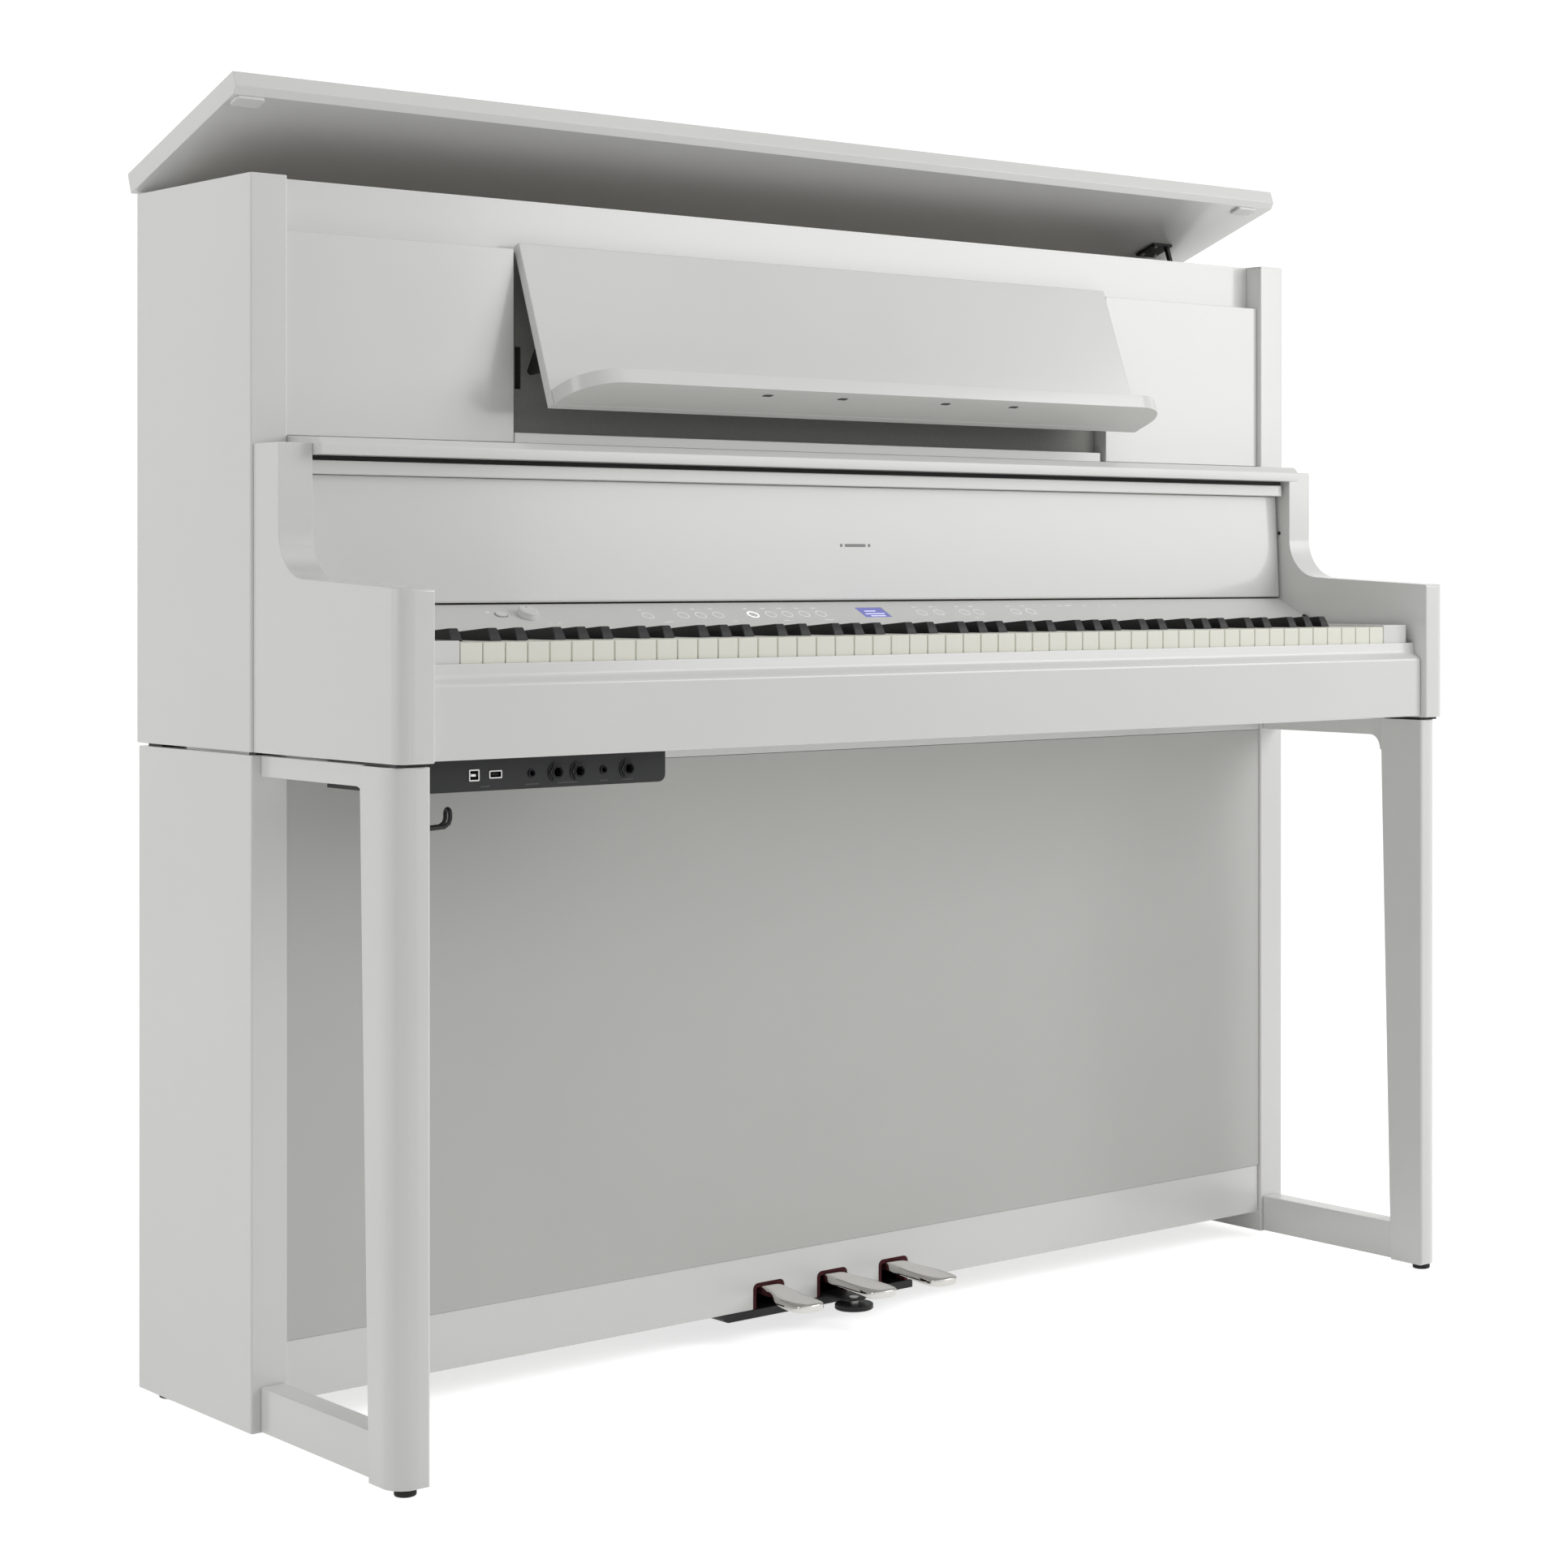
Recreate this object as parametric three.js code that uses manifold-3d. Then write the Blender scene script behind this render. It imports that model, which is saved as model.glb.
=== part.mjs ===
// Digital piano on a stand: an upright cabinet on legs, with 88 keys, three pedals, a folding
// music rest, a key cover and a hinged lid. Millimetres, +Z up, and the player sits on the -Y side.
// While it is built, Y = 0 is the front of the arms and Z = 0 is the floor.
import * as THREE from "three";
import { mergeVertices } from "three/addons/utils/BufferGeometryUtils.js";
import Module from "manifold-3d";

const wasm = await Module();
wasm.setup();

// Fits.
const gap = 0.3;               // between pieces that touch
const runningGap = 0.6;        // around pins and shafts
const cornerFineness = 1.8;    // straight pieces in a rounded corner, per root of its radius

// Cabinet.
const width = 1380;            // over the two arms
const armThickness = 35;
const upperSideThickness = 38;
const armReach = 259;          // from the front of the arms to the front of the upper sides
const cabinetDepth = 228;      // front to back of the upper sides
const bedUnderside = 634.6;    // floor to the underside of the keyboard
const upperHeight = 534.7;     // underside of the keyboard to the top of the upper sides
const armCornerRadius = 16;

const halfWidth = width / 2;
const insideHalf = halfWidth - armThickness;
const rearY = armReach + cabinetDepth;
const upperTop = bedUnderside + upperHeight;
const fitHalf = insideHalf - gap;

// Arms, measured up from the underside of the keyboard.
const armFrontHeight = 152;
const armRearHeight = 162.2;   // where the slope of the arm would meet the riser
const riserHeight = 284.9;
const riserSetback = 46.7;     // from the riser to the front of the upper sides
const armHollowRadius = 45;

// Keyboard.
const whiteKeyCount = 52;
const keyGap = 1;
const keyFrontY = 21.2;
const keyTopRise = 103.9;      // underside of the keyboard to the top of the white keys
const whiteKeyDepth = 19.5;
const sharpRise = 12.2;        // above the white keys, at the front
const sharpRearRise = 3.8;     // and where it dips
const sharpDipBefore = 4.3;    // a sharp dips this far in front of the control panel
const sharpSetback = 48.5;     // white key front to sharp front, at its foot
const sharpFootWidth = 12.5;
const sharpTopWidth = 9.8;
const sharpSideGap = 1;
const leftBlockWidth = 37.3;
const rightBlockWidth = 49.5;
const middleC = 23;            // index of that white key, counted from the left

const keyboardLeft = -insideHalf + leftBlockWidth + 0.6;
const keyboardRight = insideHalf - rightBlockWidth + 0.1;
const keyPitch = (keyboardRight - keyboardLeft) / whiteKeyCount;
const keyTop = bedUnderside + keyTopRise;
const keyBottom = keyTop - whiteKeyDepth;
const keyPivotY = armReach - 9;
const keyPivotZ = keyTop - 13.5;

// Control panel: a thin sheet that slopes down to the keys.
const panelRearY = armReach - 30;
const panelRearRise = 134.9;
const panelReach = 51;
const panelSlope = 0.5;        // rise over run
const panelThickness = 2.5;
const panelTilt = Math.atan(panelSlope);
const knobDiameter = 20;
const knobHeight = 7.5;
const knobX = -0.3087 * width;
const powerX = -0.3288 * width;
const displayX = [-11, 25];
const displayY = [panelRearY - 32, panelRearY - 12];

// Key cover and its lip.
const coverThickness = 12;
const coverBottomRise = 136.6;
const coverTopRise = 256.4;
const lipHeight = 12.9;
const lipThickness = 20;
const coverLean = 6;           // how far the top stands behind the bottom
const coverHalf = insideHalf - 3;

// Shelf, front panels and the recess behind the music rest.
const shelfFrontY = armReach - 62;
const shelfBottomRise = 273.9;
const shelfTopRise = 290.4;
const panelFaceY = armReach + 6.4;
const baffleFaceY = armReach + 23.3;
const boardThickness = 15;
const recessHalf = 402;
const recessRailHeight = 10.5;
const recessTopDrop = 50.6;    // top of the upper sides to the top of the front panels
const speakerX = 250;
const speakerHoleDiameter = 104;

// Music rest, which leans forward when open.
const restHalf = 398;
const restThickness = 10.5;
const restDrop = 171;          // hinge to its lower edge
const restTilt = 20.6 * Math.PI / 180;
const restHingeY = baffleFaceY - 7.3;
const restHingeZ = upperTop - recessTopDrop + 0.3;
const ledgeReach = 59;
const ledgeThickness = 15;
const ledgeCornerRadius = 48;
const restStayX = -388;

// Lid.
const lidHalf = halfWidth + 8;
const lidLength = 226.5;
const lidThickness = 21;
const lidChamfer = [6.5, 5.8];     // depth and height, under the front edge
const lidEdgeRadius = 2;
const lidOpening = 19.5 * Math.PI / 180;
const lidHingeY = rearY + 2.5;
const lidHingeZ = upperTop + 0.3;
const lidHingeX = 0.4 * width;
const lidStayX = [603, 635];

// Stand.
const footHeight = 6.8;
const standTop = bedUnderside - 3.1;
const sideBoardThickness = 37;
const legFrontY = 7.5;
const legTopDepth = 61.5;
const legFootDepth = 46;
const legCornerRadius = 23;
const railThickness = 24;
const railInset = 7.5;         // outer face of a leg to the outer face of its rails
const topRailHeight = 19.5;
const topRailHaunch = 17;
const bottomRailTop = 49;
const kickTop = 86;
const kickBottom = 30;

// Pedals.
const pedalX = [-88.3, -3.1, 81.8];
const pedalFan = [-4.5, 8.5, 7.5]; // how far each pad leans sideways
const pedalNames = ["soft", "sostenuto", "damper"];
const slotWidth = 41;
const slotTop = 57;
const pedalFrontY = armReach - 80;
const pedalPadWidth = 38;
const pedalArmWidth = 26;
const pedalHinge = [armReach + 71, 50];
const hingePinDiameter = 8;

const finishes = {
  satinWhite: { color: 0xe6e6e4, roughness: 0.35, metalness: 0 },
  panelWhite: { color: 0xdcdddc, roughness: 0.45, metalness: 0 },
  keyWhite: { color: 0xe9e7dc, roughness: 0.4, metalness: 0 },
  keyBlack: { color: 0x1c1d20, roughness: 0.45, metalness: 0 },
  backboard: { color: 0xc4c2bc, roughness: 0.7, metalness: 0 },
  black: { color: 0x151515, roughness: 0.5, metalness: 0 },
  rubber: { color: 0x101010, roughness: 0.85, metalness: 0 },
  chrome: { color: 0xc9c9c6, roughness: 0.12, metalness: 1 },
  steel: { color: 0x3a3a3c, roughness: 0.4, metalness: 1 },
  glass: { color: 0x6f74b4, roughness: 0.1, metalness: 0 },
  board: { color: 0x1f4a33, roughness: 0.6, metalness: 0 },
};

// ---------------------------------------------------------------- shapes

/** Outline through corners [a, b] or [a, b, radius]; a radius rounds that corner. */
function outline(corners) {
  const points = [];
  corners.forEach(([a, b, radius = 0], index) => {
    const here = new THREE.Vector2(a, b);
    if (radius === 0) {
      points.push(here);
      return;
    }
    const previous = corners.at(index - 1);
    const following = corners[(index + 1) % corners.length];
    const back = new THREE.Vector2(previous[0], previous[1]).sub(here).normalize();
    const ahead = new THREE.Vector2(following[0], following[1]).sub(here).normalize();
    const half = back.angleTo(ahead) / 2;
    const reach = radius / Math.tan(half);
    const middle = back.clone().add(ahead).normalize().multiplyScalar(radius / Math.sin(half)).add(here);
    const start = back.multiplyScalar(reach).add(here).sub(middle).angle();
    const end = ahead.multiplyScalar(reach).add(here).sub(middle).angle();
    const sweep = Math.atan2(Math.sin(end - start), Math.cos(end - start));
    const steps = Math.max(3, Math.round(cornerFineness * Math.sqrt(radius)));
    for (let step = 0; step <= steps; step += 1) {
      const angle = start + sweep * step / steps;
      points.push(new THREE.Vector2(Math.cos(angle), Math.sin(angle)).multiplyScalar(radius).add(middle));
    }
  });
  return points;
}

/** Closed solid from a three.js geometry. */
function solid(geometry) {
  geometry.deleteAttribute("normal");
  geometry.deleteAttribute("uv");
  const merged = mergeVertices(geometry, 1e-4);
  return new wasm.Manifold(new wasm.Mesh({
    numProp: 3,
    vertProperties: merged.attributes.position.array,
    triVerts: Uint32Array.from(merged.index.array),
  }));
}

function extrusion(corners, depth) {
  return new THREE.ExtrudeGeometry(new THREE.Shape(outline(corners)), { depth, bevelEnabled: false });
}

/** Outline in (y, z), extruded from x0 to x1. */
function alongX(corners, x0, x1) {
  const turn = new THREE.Matrix4().makeBasis(
    new THREE.Vector3(0, 1, 0), new THREE.Vector3(0, 0, 1), new THREE.Vector3(1, 0, 0));
  return solid(extrusion(corners, x1 - x0).applyMatrix4(turn).translate(x0, 0, 0));
}

/** Outline in (x, z), extruded from y0 to y1. */
function alongY(corners, y0, y1) {
  const turn = new THREE.Matrix4().makeBasis(
    new THREE.Vector3(1, 0, 0), new THREE.Vector3(0, 0, 1), new THREE.Vector3(0, -1, 0));
  return solid(extrusion(corners, y1 - y0).applyMatrix4(turn).translate(0, y1, 0));
}

/** Outline in (x, y), extruded from z0 to z1. */
function alongZ(corners, z0, z1) {
  return solid(extrusion(corners, z1 - z0).translate(0, 0, z0));
}

function block([x0, x1], [y0, y1], [z0, z1]) {
  const box = new THREE.BoxGeometry(x1 - x0, y1 - y0, z1 - z0);
  return solid(box.translate((x0 + x1) / 2, (y0 + y1) / 2, (z0 + z1) / 2));
}

/** Round bar between two points. */
function bar(from, to, diameter, sides = 24) {
  const start = new THREE.Vector3(...from);
  const run = new THREE.Vector3(...to).sub(start);
  const rod = new THREE.CylinderGeometry(diameter / 2, diameter / 2, run.length(), sides);
  const turn = new THREE.Quaternion().setFromUnitVectors(
    new THREE.Vector3(0, 1, 0), run.clone().normalize());
  const middle = start.addScaledVector(run, 0.5);
  return solid(rod.applyQuaternion(turn).translate(middle.x, middle.y, middle.z));
}

function ball(centre, diameter) {
  return solid(new THREE.SphereGeometry(diameter / 2, 12, 8).translate(...centre));
}

/** Turn a solid about an axis parallel to X through (y, z). */
function turnAboutX(body, radians, y, z) {
  return body.translate(0, -y, -z).rotate(radians * 180 / Math.PI, 0, 0).translate(0, y, z);
}

function union(bodies) {
  return bodies.reduce((whole, piece) => whole.add(piece));
}

// ---------------------------------------------------------------- list of pieces

const pieces = [];

function piece(name, finish, body) {
  pieces.push({ name, finish, body });
}

/** A piece made for the right-hand side, and its mirror image on the left. */
function pair(name, finish, body) {
  piece(`${name}_right`, finish, body);
  piece(`${name}_left`, finish, body.mirror([1, 0, 0]));
}

// ---------------------------------------------------------------- cabinet

function arm() {
  const top = bedUnderside + armFrontHeight;
  const riserY = armReach - riserSetback;
  const profile = alongX([
    [0, bedUnderside, 3],
    [armReach - gap, bedUnderside],
    [armReach - gap, bedUnderside + riserHeight, 1.5],
    [riserY, bedUnderside + riserHeight, 1.5],
    [riserY, bedUnderside + armRearHeight, armHollowRadius],
    [0, top, 3],
  ], insideHalf, halfWidth);
  const plan = alongZ([
    [insideHalf, 0, 2],
    [halfWidth, 0, armCornerRadius],
    [halfWidth, armReach],
    [insideHalf, armReach],
  ], bedUnderside - 1, upperTop);
  return profile.intersect(plan);
}

function upperSide() {
  return alongZ([
    [insideHalf, armReach, 1.5],
    [insideHalf + upperSideThickness, armReach, 2],
    [insideHalf + upperSideThickness, rearY, 2],
    [insideHalf, rearY],
  ], bedUnderside + 0.2, upperTop);
}

function inletHole() {
  return block([540, 572], [rearY - 40, rearY], [bedUnderside + 33, bedUnderside + 57]);
}

function upperRearPanel() {
  const panel = block([-fitHalf, fitHalf], [rearY - 17, rearY - 2], [bedUnderside + 2.4, upperTop - 4]);
  return panel.subtract(inletHole());
}

/** Board behind the front panels and the music rest, with speaker holes and a slot for the rest's stay. */
function upperBaffle() {
  const board = block([-fitHalf, fitHalf], [baffleFaceY, baffleFaceY + boardThickness],
    [bedUnderside + shelfTopRise + 3.4, upperTop - 0.3]);
  const centreZ = upperTop - recessTopDrop - 88;
  const speakerHole = bar([speakerX, baffleFaceY - 5, centreZ], [speakerX, baffleFaceY + 25, centreZ],
    speakerHoleDiameter, 32);
  const staySlot = block([restStayX - 3.5, restStayX + 3.5], [baffleFaceY - 5, baffleFaceY + 25],
    [restHingeZ - 137, restHingeZ - 95]);
  return board.subtract(speakerHole).subtract(speakerHole.mirror([1, 0, 0])).subtract(staySlot);
}

function frontPanel() {
  const top = upperTop - recessTopDrop;
  return block([recessHalf + 0.8, fitHalf], [panelFaceY, baffleFaceY - gap],
    [bedUnderside + shelfTopRise + 3.3, top]);
}

/** Shelf over the key cover, with the low rail that closes the foot of the recess. */
function shelf() {
  const bottom = bedUnderside + shelfBottomRise;
  const top = bedUnderside + shelfTopRise;
  const board = alongX([
    [shelfFrontY, bottom],
    [baffleFaceY + boardThickness, bottom],
    [baffleFaceY + boardThickness, top + 3],
    [panelFaceY, top + 3],
    [shelfFrontY + 6.5, top],
    [shelfFrontY, top - 6.5],
  ], -fitHalf, fitHalf);
  const railZ = [top + 2, top + 3 + recessRailHeight];
  const rail = block([-recessHalf + 3, recessHalf - 3], [panelFaceY + 5, baffleFaceY - gap], railZ);
  return board.add(rail);
}

// ---------------------------------------------------------------- key cover

function coverFaceY(z) {
  const bottom = bedUnderside + coverBottomRise;
  const top = bedUnderside + coverTopRise;
  return armReach - 33 + coverLean * (z - bottom) / (top - bottom);
}

function keyCover() {
  const bottom = bedUnderside + coverBottomRise;
  const top = bedUnderside + coverTopRise;
  const profile = alongX([
    [coverFaceY(bottom), bottom, 2],
    [coverFaceY(bottom) + coverThickness, bottom, 2],
    [coverFaceY(top) + coverThickness, top, 1],
    [coverFaceY(top), top, 1],
  ], -coverHalf, coverHalf);
  return profile;
}

function keyCoverLip() {
  const bottom = bedUnderside + coverTopRise + gap;
  const front = armReach - 38.5;
  return alongX([
    [front, bottom, 1],
    [front + lipThickness, bottom],
    [front + lipThickness, bottom + lipHeight],
    [front + 1, bottom + lipHeight, 1],
  ], -coverHalf + 1, coverHalf - 1);
}

// ---------------------------------------------------------------- control panel

function panelZ(y) {
  return bedUnderside + panelRearRise + panelSlope * (y - panelRearY);
}

/** Point above the sheet: y along it in plan, then a height square to it. */
function offPanel(x, y, height) {
  return [x, y - height * Math.sin(panelTilt), panelZ(y) + height * Math.cos(panelTilt)];
}

/** A bar that stands square to the sheet. */
function panelBar(x, y, from, to, diameter, sides) {
  return bar(offPanel(x, y, from), offPanel(x, y, to), diameter, sides);
}

/** A block that stands square to the sheet, rounded in plan by a radius. */
function panelBlock([x0, x1], [y0, y1], [from, to], radius) {
  const middleY = (y0 + y1) / 2;
  const half = (y1 - y0) / 2 / Math.cos(panelTilt);
  const flat = alongZ([
    [x0, -half, radius],
    [x1, -half, radius],
    [x1, half, radius],
    [x0, half, radius],
  ], from, to);
  return flat.rotate(panelTilt * 180 / Math.PI, 0, 0).translate(0, middleY, panelZ(middleY));
}

const powerY = panelRearY - 19.7;
const knobY = panelRearY - 22;

function controlPanel() {
  const drop = panelThickness / Math.cos(panelTilt);
  const front = panelRearY - panelReach;
  const sheet = alongX([
    [front, panelZ(front) - drop / 2, 0.8],
    [front + 1.2, panelZ(front + 1.2) - drop],
    [panelRearY - 2.5, panelZ(panelRearY - 2.5) - drop],
    [panelRearY - 2.5, panelZ(panelRearY) - 15],
    [panelRearY, panelZ(panelRearY) - 15],
    [panelRearY, panelZ(panelRearY)],
    [front + 0.6, panelZ(front + 0.6), 0.8],
  ], -fitHalf, fitHalf);
  const knobHole = panelBar(knobX, knobY, -10, 10, 6 + 2 * runningGap, 24);
  const powerHole = panelBlock([powerX - 6.4, powerX + 6.4], [powerY - 3.9, powerY + 3.9], [-10, 10], 4);
  const displayHole = panelBlock(displayX, displayY, [-10, 10], 0.5);
  return sheet.subtract(knobHole).subtract(powerHole).subtract(displayHole);
}

function volumeKnob() {
  const head = panelBar(knobX, knobY, gap, knobHeight, knobDiameter, 40);
  return head.add(panelBar(knobX, knobY, -6, 1, 6, 24));
}

function powerButton() {
  return panelBlock([powerX - 6, powerX + 6], [powerY - 3.5, powerY + 3.5], [-5, 1.6], 3.7);
}

function displayWindow() {
  return panelBlock([displayX[0] + gap, displayX[1] - gap], [displayY[0] + gap, displayY[1] - gap],
    [-panelThickness, -0.2], 0.4);
}

// ---------------------------------------------------------------- keyboard

const noteNames = "ABCDEFG";
const sharpShift = { A: 3.2, C: -2.5, D: 2.5, F: -3.2, G: 0 };

function hasSharp(index) {
  return index >= 0 && index < whiteKeyCount - 1 && noteNames[index % 7] in sharpShift;
}

function sharpX(index) {
  return keyboardLeft + keyPitch * (index + 1) + sharpShift[noteNames[index % 7]];
}

const sharpNotch = sharpFootWidth / 2 + sharpSideGap;
const whiteTailY = armReach - 31;
const whiteSpineY = [armReach - 29, armReach - 17];
const sharpTailY = armReach - 47;
const sharpSpineY = [armReach - 45.5, armReach - 34];

/** One white key in plan, as long as its tail. */
function whiteKey(index, tailY) {
  const left = keyboardLeft + keyPitch * index + keyGap / 2;
  const right = left + keyPitch - keyGap;
  const notchY = keyFrontY + sharpSetback - 2;
  const tailLeft = hasSharp(index - 1) ? Math.max(left, sharpX(index - 1) + sharpNotch) : left;
  const tailRight = hasSharp(index) ? Math.min(right, sharpX(index) - sharpNotch) : right;
  const head = block([left, right], [keyFrontY, notchY], [keyBottom, keyTop]);
  return head.add(block([tailLeft, tailRight], [notchY - 1, tailY], [keyBottom, keyTop]));
}

/** Rounds the front edge of the white keys. */
function whiteKeyEdge() {
  return alongX([
    [keyFrontY, keyBottom],
    [armReach, keyBottom],
    [armReach, keyTop],
    [keyFrontY, keyTop, 1.5],
  ], -insideHalf, insideHalf);
}

/** One sharp, with its tail low enough to pass under the edge of the control panel. */
function sharpKey(index, tailY) {
  const foot = keyFrontY + sharpSetback;
  const dipY = panelRearY - panelReach - sharpDipBefore;
  const low = keyTop + 1.1;
  const profile = alongX([
    [foot, keyBottom + 3],
    [tailY, keyBottom + 3],
    [tailY, keyTop + 11],
    [dipY + 28, keyTop + 9],
    [dipY + 15, low],
    [dipY + 3, low],
    [dipY, keyTop + sharpRearRise],
    [foot + 6, keyTop + sharpRise, 2.5],
    [foot, keyTop],
  ], -20, 20);
  const section = alongY([
    [-sharpFootWidth / 2, keyBottom + 2],
    [sharpFootWidth / 2, keyBottom + 2],
    [sharpFootWidth / 2, keyTop],
    [sharpTopWidth / 2, keyTop + sharpRise],
    [sharpTopWidth / 2, keyTop + 20],
    [-sharpTopWidth / 2, keyTop + 20],
    [-sharpTopWidth / 2, keyTop + sharpRise],
    [-sharpFootWidth / 2, keyTop],
  ], 0, armReach);
  return profile.intersect(section).translate(sharpX(index), 0, 0);
}

function keyboard() {
  const singleWhites = [middleC, middleC + 1, middleC + 2];
  const singleSharps = [middleC, middleC + 1];
  const edge = whiteKeyEdge();
  const whites = [block([keyboardLeft + 0.5, keyboardRight - 0.5], whiteSpineY, [keyTop - 23, keyTop - 3])];
  const sharps = [block([sharpX(0) - 5, sharpX(whiteKeyCount - 3) + 5], sharpSpineY,
    [keyTop + 2.8, keyTop + 10.6])];
  for (let index = 0; index < whiteKeyCount; index += 1) {
    const note = `${noteNames[index % 7]}4`.toLowerCase();
    if (singleWhites.includes(index)) {
      piece(`white_key_${note}`, "keyWhite", whiteKey(index, whiteTailY).intersect(edge));
    } else {
      whites.push(whiteKey(index, whiteSpineY[0] + 2).intersect(edge));
    }
    if (hasSharp(index) && singleSharps.includes(index)) {
      piece(`black_key_${note.replace("4", "_sharp_4")}`, "keyBlack", sharpKey(index, sharpTailY));
    } else if (hasSharp(index)) {
      sharps.push(sharpKey(index, sharpSpineY[0] + 2));
    }
  }
  piece("white_keys", "keyWhite", union(whites));
  piece("black_keys", "keyBlack", union(sharps));
}

/** Cheek block beside the keys. */
function keyBlock([x0, x1], radii) {
  return alongZ([
    [x0, keyFrontY, radii[0]],
    [x1, keyFrontY, radii[1]],
    [x1, whiteTailY],
    [x0, whiteTailY],
  ], keyBottom, keyTop + 2);
}

function keySlip() {
  const bottom = bedUnderside + 1.4;
  const top = bedUnderside + 85.4;
  return alongX([
    [8.1, bottom, 2],
    [27, bottom],
    [27, top - 14],
    [20.6, top - 14],
    [20.6, top],
    [18.2, top, 0.8],
    [17.4, top - 12, 6],
    [8.1, top - 18, 4],
  ], -fitHalf + 0.2, fitHalf - 0.2);
}

/** Bottom board of the keyboard, with the rail the keys pivot on and the rail behind the lower panel. */
function keyBed() {
  const rear = rearY - 17.3;
  return alongX([
    [27.4, bedUnderside],
    [armReach + 3, bedUnderside],
    [armReach + 3, bedUnderside - 23.3],
    [armReach + 23, bedUnderside - 23.3],
    [armReach + 23, bedUnderside],
    [rear, bedUnderside],
    [rear, bedUnderside + 18],
    [armReach + 3, bedUnderside + 18],
    [armReach + 3, keyTop - 26],
    [armReach - 29, keyTop - 26],
    [armReach - 29, bedUnderside + 18],
    [27.4, bedUnderside + 18],
  ], -fitHalf, fitHalf);
}

// ---------------------------------------------------------------- music rest

function openRest(body) {
  return turnAboutX(body, -restTilt, restHingeY, restHingeZ);
}

const restFaceY = restHingeY - 1.8 - restThickness;

function musicRest() {
  return openRest(alongX([
    [restFaceY, restHingeZ - restDrop, 1],
    [restFaceY + restThickness, restHingeZ - restDrop, 1],
    [restFaceY + restThickness, restHingeZ + 2, 2],
    [restFaceY, restHingeZ + 2, 2],
  ], -restHalf, restHalf));
}

/** Ledge that holds the music, with four small slots for feet in its underside. */
function musicLedge() {
  const bottom = restHingeZ - restDrop;
  const rear = restFaceY - gap;
  const plan = alongZ([
    [-restHalf + 1, rear - ledgeReach, ledgeCornerRadius],
    [restHalf - 1, rear - ledgeReach, ledgeCornerRadius],
    [restHalf - 1, rear],
    [-restHalf + 1, rear],
  ], bottom, bottom + ledgeThickness);
  const slots = [-167, -70, 70, 167].map((x) => alongZ([
    [x - 6.5, rear - ledgeReach + 13.5, 3.1],
    [x + 6.5, rear - ledgeReach + 13.5, 3.1],
    [x + 6.5, rear - ledgeReach + 20, 3.1],
    [x - 6.5, rear - ledgeReach + 20, 3.1],
  ], bottom - 5, bottom + 3));
  return openRest(plan.subtract(union(slots)));
}

function musicStay() {
  const rear = restFaceY + restThickness + gap;
  return openRest(alongX([
    [rear, restHingeZ - 131],
    [rear + 30, restHingeZ - 122, 1.5],
    [rear + 33, restHingeZ - 117, 1.5],
    [rear + 12, restHingeZ - 101, 2],
    [rear, restHingeZ - 99],
  ], restStayX - 1.5, restStayX + 1.5));
}

// ---------------------------------------------------------------- lid

function openLid(body) {
  return turnAboutX(body, -lidOpening, lidHingeY, lidHingeZ);
}

/** Hinge pins run along this line, one stretch at each side. */
function lidPin(diameter, slack) {
  return bar([lidHingeX - 30 - slack, lidHingeY, lidHingeZ], [lidHingeX + 30 + slack, lidHingeY, lidHingeZ],
    diameter, 24);
}

function topLid() {
  const front = lidHingeY - lidLength;
  const board = alongX([
    [lidHingeY, lidHingeZ],
    [lidHingeY, lidHingeZ + lidThickness, lidEdgeRadius],
    [front, lidHingeZ + lidThickness, lidEdgeRadius],
    [front, lidHingeZ + lidChamfer[1], 1],
    [front + lidChamfer[0], lidHingeZ, 1],
  ], -lidHalf, lidHalf);
  const notch = lidPin(5.4 + 2 * runningGap, 1);
  return openLid(board.subtract(notch).subtract(notch.mirror([1, 0, 0])));
}

function lidHinge() {
  const leafX = [lidHingeX - 30, lidHingeX + 30];
  const leaf = block(leafX, [rearY - 1.7, rearY + 0.3], [lidHingeZ - 38, lidHingeZ - 0.8]);
  const web = block(leafX, [rearY - 1.7, lidHingeY + 1], [lidHingeZ - 2.6, lidHingeZ - 0.8]);
  return leaf.add(web).add(lidPin(5.4, 0));
}

function lidStay() {
  const rear = lidHingeY - 72;
  const plate = block(lidStayX, [rear - 34, rear], [lidHingeZ - 3.3, lidHingeZ - gap]);
  const stubX = [lidStayX[1] - 7, lidStayX[1] - 2];
  const stub = block(stubX, [rear - 30, rear - 25], [lidHingeZ - 42, lidHingeZ - 1]);
  return openLid(plate.add(stub));
}

// ---------------------------------------------------------------- stand

function legRearY(z) {
  const share = (z - footHeight) / (standTop - footHeight);
  return legFrontY + legFootDepth + (legTopDepth - legFootDepth) * share;
}

function leg() {
  const profile = alongX([
    [legFrontY, footHeight, 2],
    [legRearY(footHeight), footHeight],
    [legRearY(standTop), standTop],
    [legFrontY, standTop, 2],
  ], insideHalf, halfWidth);
  const plan = alongZ([
    [insideHalf, legFrontY, 3],
    [halfWidth, legFrontY, legCornerRadius],
    [halfWidth, 100],
    [insideHalf, 100],
  ], 0, bedUnderside);
  const pad = block([insideHalf + 3, halfWidth - 8], [legFrontY + 12, legRearY(standTop) - 3],
    [standTop - 1, bedUnderside - gap]);
  return profile.intersect(plan).add(pad);
}

const railX = [halfWidth - railInset - railThickness, halfWidth - railInset];

function legTopRail() {
  const bottom = standTop - topRailHeight;
  const front = legRearY(bottom) + 2 * gap;
  return alongX([
    [front, bottom - topRailHaunch],
    [front + 4, bottom - topRailHaunch],
    [front + 7, bottom, 15],
    [armReach - gap, bottom],
    [armReach - gap, standTop],
    [front + 0.4, standTop],
  ], ...railX);
}

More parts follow.
